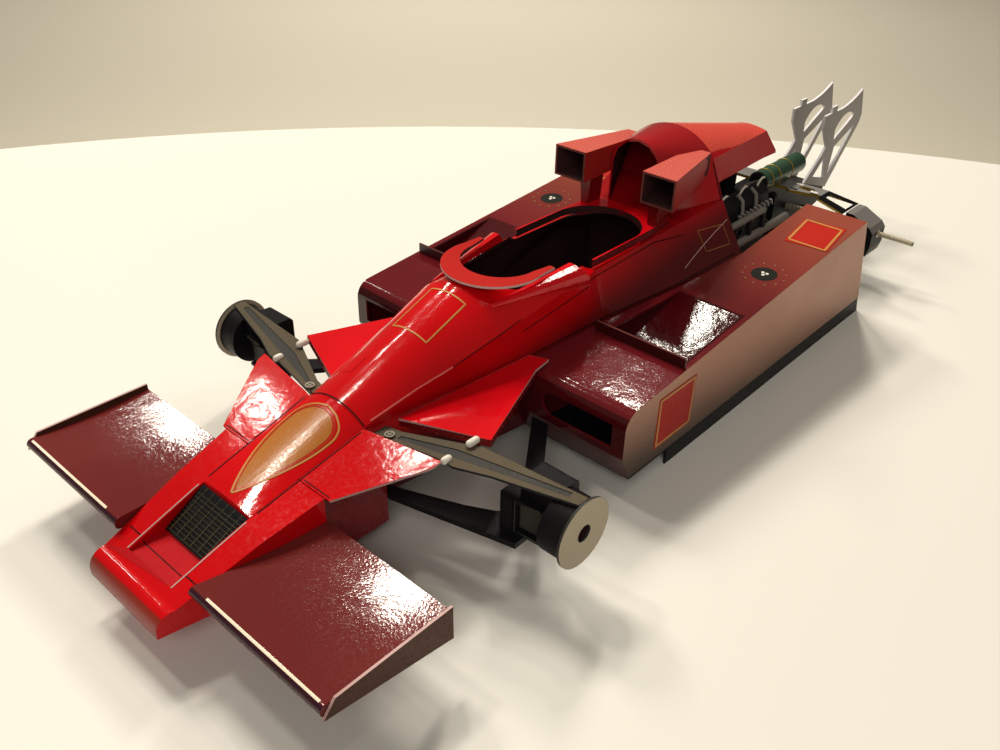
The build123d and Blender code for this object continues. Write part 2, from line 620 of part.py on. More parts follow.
tray_plan = stations([(TRAY_FRONT, tray_inner(TRAY_FRONT)), (TRAY_REAR, tray_inner(TRAY_REAR)),
                      (TRAY_REAR, TRAY_OUTER), (TRAY_FRONT, TRAY_OUTER)])
with BuildPart() as side_pod:
    add(pod_block(0))
    add(pod_block(CARD), mode=Mode.SUBTRACT)
    with BuildSketch(cross_plane(POD_FRONT - 3)):
        with BuildLine():
            radius = (SLOT_HIGH - SLOT_LOW) / 2
            Polyline((SLOT_INNER + radius, SLOT_LOW), (SLOT_OUTER, SLOT_LOW), (SLOT_OUTER, SLOT_HIGH),
                     (SLOT_INNER + radius, SLOT_HIGH))
            ThreePointArc((SLOT_INNER + radius, SLOT_HIGH), (SLOT_INNER, (SLOT_LOW + SLOT_HIGH) / 2),
                          (SLOT_INNER + radius, SLOT_LOW))
        make_face()
    extrude(amount=5, mode=Mode.SUBTRACT)
    with BuildSketch(Plane.XY.offset(13)):
        with BuildLine():
            Polyline(*tray_plan, close=True)
        make_face()
    extrude(amount=10, mode=Mode.SUBTRACT)
save_pair(side_pod.part, "side_pod")


def tray_wedge(inset, lift):
    """Wedge between the sloping tray floor and the pod roof."""
    side = [(TRAY_FRONT - GLUE * (1 - lift), pod_roof_z(TRAY_FRONT) - TRAY_DEPTH + lift * CARD),
            (TRAY_REAR + GLUE + inset, pod_roof_z(TRAY_REAR) - CARD + lift * CARD),
            (TRAY_REAR + GLUE + inset, pod_roof_z(TRAY_REAR) + lift),
            (TRAY_FRONT - GLUE * (1 - lift), pod_roof_z(TRAY_FRONT) + lift)]
    plan = [(TRAY_FRONT + lift, tray_inner(TRAY_FRONT + lift) + GLUE + inset),
            (TRAY_REAR - 1, tray_inner(TRAY_REAR - 1) + GLUE + inset),
            (TRAY_REAR - 1, TRAY_OUTER - GLUE - inset), (TRAY_FRONT + lift, TRAY_OUTER - GLUE - inset)]
    return (flat_prism(side_plane(POD_HALF), stations(side), POD_HALF)
            & flat_prism(Plane.XY, stations(plan), 40))


with BuildPart() as exit_tray:
    add(tray_wedge(0, 0))
    add(tray_wedge(CARD, 1), mode=Mode.SUBTRACT)
save_both(exit_tray.part, "exit_trays")

FLAP_X = -33.2
FLAP_RISE = 1.7
flap = flat_prism(cross_plane(FLAP_X), [
    (11.6, pod_roof_z(FLAP_X - CARD) + GLUE), (28.1, pod_roof_z(FLAP_X - CARD) + GLUE),
    (28.1, pod_roof_z(FLAP_X) + FLAP_RISE), (11.6, pod_roof_z(FLAP_X) + FLAP_RISE)], -CARD)
save_both(flap, "pod_flaps")

# ---- floor and skirts -----------------------------------------------------------------------
floor_high = FLOOR_TOP - GLUE
floor_rear = between(FLOOR_TOP, (pod_roof_z(POD_REAR_TOP), POD_REAR_TOP), (0, POD_REAR_FOOT))
with BuildPart() as floor_pan:
    with BuildSketch(Plane.XY.offset(floor_high)):
        with BuildLine():
            floor_half = [(POD_FRONT - 2.2, POD_HALF), (floor_rear, POD_HALF)]
            Polyline(*stations(floor_half + [(row[0], -row[1]) for row in reversed(floor_half)]),
                     close=True)
        make_face()
    extrude(amount=-CARD)
save(floor_pan.part, "floor_pan")

SKIRT_FRONT = -30.9
skirt = flat_prism(side_plane(POD_HALF), stations([
    (SKIRT_FRONT, 0), (SKIRT_FRONT, floor_high - CARD - GLUE), (floor_rear, floor_high - CARD - GLUE),
    (POD_REAR_FOOT, 0)]), CARD)
save_both(skirt, "side_skirts")

# ---- suspension fairings behind the front arms -------------------------------------------------
FAIRING_TOP = 16.0
FAIRING_LOW = 14.8
fairing_walls = [(3.9, 7.0), (-1.1, DECK_TIP_HALF + 0.8), (-18.0, 12.4), (-18.4, 9.0)]
fairing_tip = [(-21.6, 11.9), (-20.5, 9.0)]     # runs out over the front of the pod
with BuildPart() as arm_fairing:
    with BuildSketch(Plane.XY.offset(FAIRING_TOP - CARD)):
        with BuildLine():
            Polyline(*stations(fairing_walls[:3] + fairing_tip), close=True)
        make_face()
    extrude(amount=CARD)
    with BuildSketch(Plane.XY.offset(FAIRING_LOW)):
        with BuildLine():
            Polyline(*stations(fairing_walls), close=True)
        make_face()
        offset(amount=-CARD, kind=Kind.INTERSECTION, mode=Mode.SUBTRACT)
    extrude(amount=FAIRING_TOP - CARD - FAIRING_LOW)
    add(tub_clear, mode=Mode.SUBTRACT)
save_pair(arm_fairing.part, "arm_fairing")

# ---- front suspension ------------------------------------------------------------------------
HUB_RADIUS = 4.93
HUB_BORE = 1.25
HUB_PLATE = CARD
DRUM_RADIUS = 4.35
DRUM_DEPTH = 3.6
DRUM_FACE = HUB_FACE - HUB_PLATE - GLUE
DRUM_INNER = DRUM_FACE - DRUM_DEPTH
ARM_ROOT_HALF = 6.35
ARM_WIDEST = DECK_TIP_HALF + 0.8
ARM_RISE = 0.0158           # rise of the upper arm for each mm outwards
arm_top = HUB_HEIGHT + DRUM_RADIUS + 2 * GLUE + CARD    # upper face where it reaches the drum


def upper_arm_z(half):
    """Height of the upper arm's top face at a half width."""
    return arm_top + ARM_RISE * (half - DRUM_INNER)


arm_plane = Plane(origin=(0, 0, upper_arm_z(0)), x_dir=(1, 0, 0), z_dir=(0, -ARM_RISE, 1))
arm_front = [(8.0, ARM_ROOT_HALF), (5.9, ARM_WIDEST - 2.2), (5.9, ARM_WIDEST), (4.0, 24.1),
             (0.95, DRUM_FACE - GLUE)]
arm_rear = [(-0.9, DRUM_FACE - GLUE), (-0.5, 30.7), (0.3, ARM_WIDEST), (1.4, ARM_WIDEST - 2.2),
            (5.2, 8.9), (5.7, ARM_ROOT_HALF)]
ARM_STRIPE = 0.12           # depth of the pressed centre strip
PIVOT_X, PIVOT_HALF, PIVOT_RADIUS = 6.9, 8.4, 0.75
with BuildPart() as upper_arm:
    with BuildSketch(arm_plane):
        with BuildLine():
            Polyline(*stations(arm_front + arm_rear), close=True)
        make_face()
    extrude(amount=-CARD)
    with BuildSketch(arm_plane):
        with BuildLine():
            Polyline(*stations([(6.6, PIVOT_HALF + 1.2), (4.6, ARM_WIDEST - 1.7), (0.55, 33.5),
                                (-0.35, 33.5), (2.9, ARM_WIDEST - 2.0), (5.9, PIVOT_HALF + 1.2)]), close=True)
        make_face()
    extrude(amount=-ARM_STRIPE, mode=Mode.SUBTRACT)
    with BuildSketch(arm_plane):
        with Locations((along(PIVOT_X), PIVOT_HALF)):
            Circle(PIVOT_RADIUS)
    extrude(amount=0.25)
    add(tub_clear, mode=Mode.SUBTRACT)
save_pair(upper_arm.part, "upper_arm")

# Half round bosses across the arm's widest place.
BOSS_RADIUS = 0.55
boss_rows = [(4.6, 6.6, ARM_WIDEST - 1.6), (-0.3, 2.0, ARM_WIDEST - 1.4)]    # rear, front, half width
with BuildPart() as arm_boss:
    for rear, front, half in boss_rows:
        boss_z = upper_arm_z(half + BOSS_RADIUS) + GLUE
        with BuildSketch(Plane(origin=(along(rear), half, boss_z), x_dir=(0, 1, 0), z_dir=(1, 0, 0))):
            with BuildLine():
                ThreePointArc((BOSS_RADIUS, 0), (0, BOSS_RADIUS), (-BOSS_RADIUS, 0))
                Line((-BOSS_RADIUS, 0), (BOSS_RADIUS, 0))
            make_face()
        extrude(amount=front - rear)
save_both(arm_boss.part, "arm_bosses")

# Lower arm: one flat card with two legs, the rear one butting on the pod.
LOWER_ARM_Z = 6.2
LOWER_ARM_THICK = 0.9
LOWER_ARM_OUT = DRUM_INNER - 3.6
lower_arm_legs = [
    [(NOSE_SEAM - 0.1, 5.4), (NOSE_SEAM - 0.1, 8.2), (4.0, LOWER_ARM_OUT), (-2.2, LOWER_ARM_OUT),
     (-1.0, 24.6), (1.1, 22.2), (3.1, 18.4), (7.1, 8.5), (7.9, 5.4)],
    [(POD_FRONT + 2 * GLUE, 11.7), (-9.4, 18.4), (1.1, 26.3), (-1.0, LOWER_ARM_OUT), (-2.2, LOWER_ARM_OUT),
     (-9.6, 21.5), (POD_FRONT + 2 * GLUE, 14.8)],
]
with BuildPart() as lower_arm:
    for leg in lower_arm_legs:
        with BuildSketch(Plane.XY.offset(LOWER_ARM_Z)):
            with BuildLine():
                Polyline(*stations(leg), close=True)
            make_face()
        extrude(amount=LOWER_ARM_THICK)
    add(tub_clear, mode=Mode.SUBTRACT)
save_pair(lower_arm.part, "lower_arm")

# Upright with its brake drum, and a caliper in front of the drum with a sunk panel.
drum_plane = Plane(origin=(along(0), DRUM_FACE, HUB_HEIGHT), x_dir=(1, 0, 0), z_dir=(0, 1, 0))
body_inner = DRUM_INNER - 5.4
BODY_WIDE, BODY_FRONT = 5.0, 1.2
CALIPER_FRONT, CALIPER_REAR = 3.2, 0.4
CALIPER_INNER = body_inner - 2.1
CALIPER_MIDDLE = body_inner + 0.3
CALIPER_OUTER = DRUM_INNER - 1.2
CALIPER_LOW, CALIPER_HIGH = LOWER_ARM_Z + LOWER_ARM_THICK + GLUE, 12.8
CALIPER_LIP = 0.5
with BuildPart() as upright:
    with BuildSketch(drum_plane):
        Circle(DRUM_RADIUS)
    extrude(amount=-DRUM_DEPTH)
    with BuildSketch(drum_plane.offset(-DRUM_DEPTH)):
        with Locations((BODY_FRONT - BODY_WIDE / 2, 0)):
            RectangleRounded(BODY_WIDE, 2 * DRUM_RADIUS - 0.3, 0.8)
    extrude(amount=body_inner - DRUM_INNER)
    with BuildSketch(Plane.XY.offset(CALIPER_LOW)):
        with BuildLine():
            Polyline(*stations([(CALIPER_REAR, CALIPER_INNER), (CALIPER_FRONT - 0.5, CALIPER_INNER),
                                (CALIPER_FRONT, CALIPER_INNER + 0.5), (CALIPER_FRONT, CALIPER_MIDDLE),
                                (CALIPER_REAR, CALIPER_MIDDLE)]), close=True)
        make_face()
    extrude(amount=CALIPER_HIGH - CALIPER_LOW)
    with BuildSketch(Plane.XY.offset(CALIPER_LOW)):
        with BuildLine():
            Polyline(*stations([(CALIPER_REAR, CALIPER_MIDDLE), (CALIPER_FRONT - 0.5, CALIPER_MIDDLE),
                                (CALIPER_FRONT - 0.9, CALIPER_OUTER), (CALIPER_REAR, CALIPER_OUTER)]),
                     close=True)
        make_face()
    extrude(amount=CALIPER_HIGH - CALIPER_LOW)
    with BuildSketch(Plane.XY.offset(CALIPER_LOW + CALIPER_LIP)):
        with BuildLine():
            Polyline(*stations([(BODY_FRONT + 0.5, CALIPER_MIDDLE + 0.2),
                                (CALIPER_FRONT, CALIPER_MIDDLE + 0.2),
                                (CALIPER_FRONT, CALIPER_OUTER + 0.1),
                                (BODY_FRONT + 0.2, CALIPER_OUTER + 0.1)]), close=True)
        make_face()
    extrude(amount=CALIPER_HIGH - CALIPER_LOW - 2 * CALIPER_LIP, mode=Mode.SUBTRACT)
    with BuildSketch(drum_plane):
        Circle(HUB_BORE)
    extrude(amount=-DRUM_DEPTH, mode=Mode.SUBTRACT)
    add(lower_arm.part, mode=Mode.SUBTRACT)
save_pair(upright.part, "upright")

with BuildPart() as hub_disc:
    with BuildSketch(Plane(origin=(along(0), HUB_FACE, HUB_HEIGHT), x_dir=(1, 0, 0), z_dir=(0, 1, 0))):
        Circle(HUB_RADIUS)
        Circle(HUB_BORE, mode=Mode.SUBTRACT)
    extrude(amount=-HUB_PLATE)
save_pair(hub_disc.part, "hub_disc")

# ---- engine, gearbox and their fittings --------------------------------------------------------
ENGINE_FRONT = COVER_SEAM - 4 * GLUE
ENGINE_REAR = -98.2
ENGINE_FOOT = FLOOR_TOP + GLUE
HEAD_REAR = -92.0
HEAD_OUT, HEAD_TOP = 9.0, 23.4
block_outline = [(-5.4, ENGINE_FOOT), (-6.2, 11.0), (-3.2, 17.0), (3.2, 17.0), (6.2, 11.0),
                 (5.4, ENGINE_FOOT)]
head_outline = [(5.9, 11.6), (HEAD_OUT, 17.8), (HEAD_OUT - 0.6, 21.4), (6.6, HEAD_TOP), (4.0, 22.0),
                (2.4, 16.9)]
RUNNER_COUNT = 4
RUNNER_PITCH = 5.2
RUNNER_RADIUS = 1.25
RUNNER_TOP = 24.6
with BuildPart() as engine:
    add(flat_prism(cross_plane(ENGINE_FRONT), block_outline, ENGINE_REAR - ENGINE_FRONT))
    head = flat_prism(cross_plane(ENGINE_FRONT - 1.2), head_outline, HEAD_REAR - ENGINE_FRONT + 1.2)
    add(head)
    add(mirror(head, about=Plane.XZ))
    with BuildSketch(Plane.XY.offset(16.0)):
        with Locations((along((ENGINE_FRONT + HEAD_REAR) / 2), 0)):
            with GridLocations(RUNNER_PITCH, 3.6, RUNNER_COUNT, 2):
                Circle(RUNNER_RADIUS)
    extrude(amount=RUNNER_TOP - 16.0)
save(engine.part, "engine_block")

PIPE_RADIUS = 0.8
UPPER_PIPE_RADIUS = 0.65
PIPE_Y, PIPE_Z = 10.4, 15.1
UPPER_PIPE_Y, UPPER_PIPE_Z = 10.0, 19.2
PIPE_REAR = -97.5
with BuildPart() as exhaust:
    for half, height, radius, rear in ((PIPE_Y, PIPE_Z, PIPE_RADIUS, PIPE_REAR),
                                       (UPPER_PIPE_Y, UPPER_PIPE_Z, UPPER_PIPE_RADIUS, -88.0)):
        with BuildSketch(cross_plane(ENGINE_FRONT - 1.5)):
            with Locations((half, height)):
                Circle(radius)
        extrude(amount=rear - ENGINE_FRONT + 1.5)
    for number in range(RUNNER_COUNT):
        with BuildSketch(cross_plane(ENGINE_FRONT - 3.0 - number * RUNNER_PITCH)):
            with BuildLine():
                Polyline((PIPE_Y - 0.3, PIPE_Z), (PIPE_Y + 0.4, PIPE_Z),
                         (UPPER_PIPE_Y + 0.4, UPPER_PIPE_Z), (UPPER_PIPE_Y - 0.3, UPPER_PIPE_Z), close=True)
            make_face()
        extrude(amount=-1.0)
save_both(exhaust.part, "exhaust_pipes")

GEARBOX_HALF = 3.3
GEARBOX_TOP = 17.2
POST_FOOT_FRONT, POST_FOOT_REAR = -118.4, -130.2
gearbox_side = [(ENGINE_REAR - GLUE, 4.6), (ENGINE_REAR - GLUE, GEARBOX_TOP), (-111.0, GEARBOX_TOP),
                (POST_FOOT_FRONT, 14.6), (POST_FOOT_REAR - 0.4, 10.6), (POST_FOOT_REAR - 0.4, 7.4),
                (-119.0, 4.6)]
AXLE_RADIUS = 0.5           # bare wire, for a rear wheel
SHAFT_RADIUS = 0.8          # rolled card around the wire between the uprights
SHAFT_FIT = 0.06
AXLE_HEIGHT = 10.45
AXLE_HALF = 31.2


def shaft_hole(start_half, depth):
    """Round hole for the drive shaft, from a half width inwards."""
    with BuildPart() as hole:
        with BuildSketch(Plane.XZ.offset(-start_half)):
            with Locations((along(REAR_AXLE), AXLE_HEIGHT)):
                Circle(SHAFT_RADIUS + SHAFT_FIT)
        extrude(amount=depth)
    return hole.part


with BuildPart() as gearbox:
    add(flat_prism(side_plane(GEARBOX_HALF), stations(gearbox_side), 2 * GEARBOX_HALF))
    with BuildSketch(Plane.YZ.offset(along(ENGINE_REAR - 6.0))):
        with Locations((0, 12.2)):
            RectangleRounded(2 * GEARBOX_HALF + 2.4, 7.6, 1.2)
    extrude(amount=-1.2)
    add(shaft_hole(GEARBOX_HALF + 1, 2 * GEARBOX_HALF + 2), mode=Mode.SUBTRACT)
save(gearbox.part, "gearbox")

BEAM_FOOT = GEARBOX_TOP + GLUE
BEAM_THICK = 0.6
BEAM_HALF = 13.4
BEAM_FRONT, BEAM_REAR = -104.2, -109.4
with BuildPart() as rear_beam:
    with BuildSketch(Plane.XY.offset(BEAM_FOOT)):
        with BuildLine():
            half = [(BEAM_FRONT - 0.8, 4.2), (BEAM_FRONT - 0.8, 6.0), (BEAM_FRONT, 7.0),
                    (BEAM_FRONT - 1.6, BEAM_HALF),
                    (BEAM_REAR, BEAM_HALF), (BEAM_REAR, 4.0)]
            Polyline(*stations(half + [(row[0], -row[1]) for row in reversed(half)]), close=True)
        make_face()
        with Locations((along(-107.2), 9.6), (along(-107.2), -9.6)):
            RectangleRounded(1.6, 3.2, 0.4, mode=Mode.SUBTRACT)
    extrude(amount=BEAM_THICK)
save(rear_beam.part, "rear_beam")

CAN_RADIUS = 2.15
CAN_FRONT, CAN_REAR = -97.6, -114.6
CAN_Y = 3.1
CAN_Z = BEAM_FOOT + BEAM_THICK + GLUE + CAN_RADIUS
with BuildPart() as canister:
    with BuildSketch(cross_plane(CAN_FRONT)):
        with Locations((CAN_Y, CAN_Z)):
            Circle(CAN_RADIUS)
    extrude(amount=CAN_REAR - CAN_FRONT)
    chamfer(canister.edges().filter_by(GeomType.CIRCLE), 0.35)
save(canister.part, "canister")

# Rear uprights stand clear behind the pods and are threaded on the drive shaft.
UPRIGHT_INNER, UPRIGHT_WIDE = 17.7, 6.3
UPRIGHT_FRONT, UPRIGHT_REAR = -110.0, -116.2
UPRIGHT_LOW, UPRIGHT_TOP = 6.0, 14.2
UPRIGHT_OUTER = UPRIGHT_INNER + UPRIGHT_WIDE
upright_outline = [(UPRIGHT_INNER, UPRIGHT_LOW), (UPRIGHT_OUTER - 0.5, UPRIGHT_LOW + 0.2),
                   (UPRIGHT_OUTER, UPRIGHT_LOW + 2), (UPRIGHT_OUTER, UPRIGHT_TOP - 3),
                   (UPRIGHT_OUTER - 0.9, UPRIGHT_TOP - 1.9), (UPRIGHT_INNER + 1.5, UPRIGHT_TOP),
                   (UPRIGHT_INNER, UPRIGHT_TOP)]
with BuildPart() as rear_upright:
    add(flat_prism(cross_plane(UPRIGHT_FRONT), upright_outline, UPRIGHT_REAR - UPRIGHT_FRONT))
    add(shaft_hole(UPRIGHT_OUTER + 1, UPRIGHT_WIDE + 2), mode=Mode.SUBTRACT)
save_both(rear_upright.part, "rear_uprights")

# Upper arms fall from the ends of the beam to the uprights, with a window between their legs.
ARM_JOIN = UPRIGHT_INNER - GLUE
UPPER_LEG_THICK = 0.5
fall_start = (BEAM_HALF + GLUE, BEAM_FOOT + BEAM_THICK)
fall_end = (ARM_JOIN, UPRIGHT_TOP + 0.2)
fall_run = ARM_JOIN - fall_start[0]
fall_drop = fall_start[1] - fall_end[1]
fall_length = math.hypot(fall_run, fall_drop)
arm_span = flat_prism(side_plane(ARM_JOIN), stations([
    (BEAM_FRONT + 2, UPRIGHT_LOW), (BEAM_FRONT + 2, GEARBOX_TOP + 5),
    (UPRIGHT_REAR - 2, GEARBOX_TOP + 5), (UPRIGHT_REAR - 2, UPRIGHT_LOW)]), fall_run)
fall_plane = Plane(origin=(0, *fall_start), x_dir=(1, 0, 0), z_dir=(0, fall_drop, fall_run))
with BuildPart() as rear_upper_arm:
    with BuildSketch(fall_plane):
        with BuildLine():
            Polyline(*stations([(BEAM_FRONT + 0.2, 0), (BEAM_FRONT - 4.2, fall_length),
                                (UPRIGHT_REAR + 0.2, fall_length), (BEAM_REAR, 0)]), close=True)
        make_face()
        with BuildLine():
            Polyline(*stations([(BEAM_FRONT - 2.6, 0.8), (BEAM_FRONT - 6.2, fall_length - 0.5),
                                (UPRIGHT_REAR + 1.4, fall_length - 0.5), (BEAM_REAR + 0.6, 0.8)]), close=True)
        make_face(mode=Mode.SUBTRACT)
    extrude(amount=-UPPER_LEG_THICK)
    add(arm_span, mode=Mode.INTERSECT)
save_both(rear_upper_arm.part, "rear_upper_arms")

REAR_ARM_Z = 7.0
REAR_ARM_THICK = 0.9
gearbox_side_half = GEARBOX_HALF + GLUE
with BuildPart() as rear_lower_arm:
    for leg in ([(-103.0, gearbox_side_half), (-111.4, ARM_JOIN), (-113.6, ARM_JOIN),
                 (-105.6, gearbox_side_half)],
                [(-120.6, gearbox_side_half), (-113.2, ARM_JOIN), (-115.2, ARM_JOIN),
                 (-122.6, gearbox_side_half)]):
        with BuildSketch(Plane.XY.offset(REAR_ARM_Z)):
            with BuildLine():
                Polyline(*stations(leg), close=True)
            make_face()
        extrude(amount=REAR_ARM_THICK)
save_both(rear_lower_arm.part, "rear_lower_arms")

# Drive shaft through gearbox and uprights, with a thinner wire end beyond each upright.
with BuildPart() as rear_axle:
    with BuildSketch(Plane.XZ.offset(-AXLE_HALF)):
        with Locations((along(REAR_AXLE), AXLE_HEIGHT)):
            Circle(AXLE_RADIUS)
    extrude(amount=2 * AXLE_HALF)
    with BuildSketch(Plane.XZ.offset(-UPRIGHT_OUTER)):
        with Locations((along(REAR_AXLE), AXLE_HEIGHT)):
            Circle(SHAFT_RADIUS)
    extrude(amount=2 * UPRIGHT_OUTER)
save(rear_axle.part, "rear_axle")

# ---- rear wing posts: pierced card plates whose braces cross --------------------------------
POST_INNER = GEARBOX_HALF + GLUE
POST_TIP = (-140.2, 30.5)
POST_TAB_TOP = 29.4
with BuildPart() as wing_post:
    with BuildSketch(side_plane(POST_INNER + LAMINATED)):
        with BuildLine():
            tip = (along(POST_TIP[0]), POST_TIP[1])
            saddle = (along(-128.2), 28.1)
            ThreePointArc(tip, (along(-134.6), 28.55), saddle)
            Polyline(saddle, *stations([
                (-128.2, POST_TAB_TOP), (-125.9, POST_TAB_TOP), (-125.9, 28.1), (-122.8, 28.1),
                (-123.0, 25.4), (-126.4, 20.6), (-124.9, 19.0), (POST_FOOT_FRONT, 14.3),
                (POST_FOOT_REAR, 10.3), (-135.2, 15.6), (-141.6, 22.3), (POST_REAR, 24.4)]), tip)
        make_face()
        with BuildLine():
            drop_top = (along(-138.3), 25.2)
            drop_low = (along(-129.6), 21.4)
            ThreePointArc(drop_top, (along(-133.2), 26.4), (along(-129.2), 23.6))
            Polyline((along(-129.2), 23.6), drop_low, drop_top)
        make_face(mode=Mode.SUBTRACT)
        with BuildLine():
            Polyline(*stations([(-139.2, 22.6), (-130.6, 19.6), (-129.9, 13.3), (-134.4, 17.0)]), close=True)
        make_face(mode=Mode.SUBTRACT)
        with BuildLine():
            Polyline(*stations([(-126.9, 18.3), (-122.3, 14.7), (-128.3, 12.9)]), close=True)
        make_face(mode=Mode.SUBTRACT)
    extrude(amount=LAMINATED)
save_pair(wing_post.part, "wing_post")
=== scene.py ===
"""Dresses the card racing car: a finish for every sheet, and its printed, rolled and wired details.

Sizes are in mm. Lengths run ahead of the front hub axis, to the car's left and up from the table.
"""

import logging
import math
from dataclasses import dataclass, replace
from enum import Enum
from typing import Callable, Optional, Sequence

import bmesh
import bpy
from mathutils import Matrix, Vector
from mathutils.bvhtree import BVHTree

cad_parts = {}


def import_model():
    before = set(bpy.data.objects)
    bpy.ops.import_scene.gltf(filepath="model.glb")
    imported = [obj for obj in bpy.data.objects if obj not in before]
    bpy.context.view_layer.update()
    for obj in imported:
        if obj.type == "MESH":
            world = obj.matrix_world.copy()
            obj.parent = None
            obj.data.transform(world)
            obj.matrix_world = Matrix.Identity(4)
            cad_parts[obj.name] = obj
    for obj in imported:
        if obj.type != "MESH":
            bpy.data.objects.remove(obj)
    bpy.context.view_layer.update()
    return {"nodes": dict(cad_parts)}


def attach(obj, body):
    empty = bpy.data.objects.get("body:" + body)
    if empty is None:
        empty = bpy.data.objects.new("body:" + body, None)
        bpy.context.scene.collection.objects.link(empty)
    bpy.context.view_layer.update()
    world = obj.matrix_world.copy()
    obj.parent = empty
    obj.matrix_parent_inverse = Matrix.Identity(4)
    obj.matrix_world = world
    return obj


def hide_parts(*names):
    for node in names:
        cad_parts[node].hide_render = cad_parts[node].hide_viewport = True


LOG = logging.getLogger("card_car")
MM = 0.001
HUB_AHEAD = 50.0            # front hub axis, ahead of the middle of the car's length
# SKIN_LIFT also lifts layers of painted shade and painted highlight.
SKIN_LIFT = 0.025           # how far a printed layer lies over its card
PRINT_LIFT = 0.03           # how far a printed disc or ring lies over its card
EDGE = 0.5                  # a sheet's cut edge turns less than this towards the sheet's own way
MERGE = 1e-7                # points that are nearer than this are one, in metres
CLOUDS = 38.0               # clouds in the ink, for each metre
SPECKS = 780.0              # worn specks, for each metre
SWAYS = 120.0               # bends in a wash's border, for each metre
SWAY_REACH = 0.0006         # how far they bend it, in metres
DOT_CORNERS = 10            # corners of a printed dot
SIDES = (("left", 1), ("right", -1))
DOWN = (0, 0, -1)           # onto a level surface
INWARD = (0, -1, 0)         # onto the car's left side
SLOPE_DOWN = (0, -1, -0.7)  # onto the tub's left shoulder

Colour = tuple[float, float, float]
Spot = tuple[float, float, float]
Faces = list[tuple[int, ...]]
Wire = bpy.types.NodeSocket
Tree = bpy.types.NodeTree
FaceTest = Callable[[Spot, Vector], bool]


def at(ahead: float, left: float, up: float) -> Vector:
    """Point in metres from mm ahead of the front hub, left of the middle and above the table."""
    return Vector(((ahead + HUB_AHEAD) * MM, left * MM, up * MM))


def spot(point: Vector) -> Spot:
    """Mm ahead of the front hub, left of the middle and above the table of a point in metres."""
    return point.x / MM - HUB_AHEAD, point.y / MM, point.z / MM


def ink(code: int) -> tuple[float, ...]:
    """Linear colour of a hexadecimal screen colour, with full cover as its last value."""
    parts = [((code >> shift) & 255) / 255 for shift in (16, 8, 0)]
    return *(p / 12.92 if p <= 0.04045 else ((p + 0.055) / 1.055) ** 2.4 for p in parts), 1


def turns(count: int) -> list[float]:
    """Angles of even steps around a circle, in radians."""
    return [2 * math.pi * number / count for number in range(count)]


def within(box: tuple[Spot, Spot], place: Spot) -> bool:
    """Whether a place is inside a box, given by its lowest and highest corner."""
    return all(low < value < high for low, value, high in zip(box[0], place, box[1]))


def closed(*corners: Spot) -> tuple[Spot, ...]:
    """Corners of a path that ends where it starts."""
    return *corners, corners[0]


# ---- node trees --------------------------------------------------------------------------------
class Socket(Enum):
    """Kinds of socket that a node group has."""

    COLOUR = "NodeSocketColor"
    NUMBER = "NodeSocketFloat"
    COUNT = "NodeSocketInt"
    PLACE = "NodeSocketVector"
    SHAPE = "NodeSocketGeometry"
    PAINT = "NodeSocketMaterial"


class NodeDesk:
    """Adds nodes to a tree, in rows and in the order in which they are made, and links them."""

    def __init__(self, tree: Tree) -> None:
        """Takes the tree to work on."""
        self.tree = tree

    def add(self, kind: str, **settings: object) -> bpy.types.Node:
        """Adds a node.

        Args:
            kind: Blender's name of the node type.
            settings: attributes to set on it.

        Returns:
            The new node.
        """
        row, column = divmod(len(self.tree.nodes), 6)
        node = self.tree.nodes.new(kind)
        node.location = (column * 220, -row * 300)
        for name, value in settings.items():
            setattr(node, name, value)
        return node

    def feed(self, source: object, socket: Wire) -> None:
        """Links a socket to an input, or sets the input to a value.

        Args:
            source: the socket or the value.
            socket: the input.
        """
        if isinstance(source, Wire):
            self.tree.links.new(source, socket)
        else:
            socket.default_value = source

    def feed_all(self, node: bpy.types.Node, sources: dict[str, object]) -> None:
        """Feeds a node's inputs, given by their names."""
        for name, source in sources.items():
            self.feed(source, node.inputs[name])

    def chain(self, *nodes: bpy.types.Node) -> Wire:
        """Links each node's first output to the next one's first input.

        Args:
            nodes: the nodes in order.

        Returns:
            The last one's first output.
        """
        for first, last in zip(nodes, nodes[1:]):
            self.feed(first.outputs[0], last.inputs[0])
        return nodes[-1].outputs[0]

    def noise(self, place: Wire, scale: object, detail: float, rough: float = 0.5) -> Wire:
        """Adds a noise texture.

        Args:
            place: socket with the place that it is read at.
            scale: its spots for each metre, as a socket or a number.
            detail: number of its finer layers.
            rough: how much they show.

        Returns:
            The socket with its value.
        """
        node = self.add("ShaderNodeTexNoise")
        self.feed_all(node, {"Vector": place, "Scale": scale, "Detail": detail, "Roughness": rough})
        return node.outputs["Fac"]

    def ramp(self, source: Wire, low: float, high: float, out_low: float = 0.0, out_high: float = 1.0,
             ) -> Wire:
        """Maps a value from one range to another.

        Args:
            source: socket with the value.
            low: low end of its range.
            high: high end of its range.
            out_low: what the low end becomes.
            out_high: what the high end becomes.

        Returns:
            The socket with the result.
        """
        node = self.add("ShaderNodeMapRange")
        self.feed_all(node, {"Value": source, "From Min": low, "From Max": high, "To Min": out_low,
                             "To Max": out_high})
        return node.outputs["Result"]

    def math(self, operation: str, first: object, second: object) -> Wire:
        """Adds a maths node.

        Args:
            operation: Blender's name of what it does.
            first: first socket or number.
            second: second socket or number.

        Returns:
            The socket with the result.
        """
        node = self.add("ShaderNodeMath", operation=operation)
        self.feed(first, node.inputs[0])
        self.feed(second, node.inputs[1])
        return node.outputs[0]

    def mix(self, share: Wire, first: Wire, second: Wire) -> Wire:
        """Mixes two colours.

        Args:
            share: socket with the share of the second colour.
            first: socket with the first colour.
            second: socket with the second colour.

        Returns:
            The socket with the mixed colour.
        """
        node = self.add("ShaderNodeMix", data_type="RGBA")
        for number, source in ((0, share), (6, first), (7, second)):
            self.feed(source, node.inputs[number])
        return node.outputs[2]


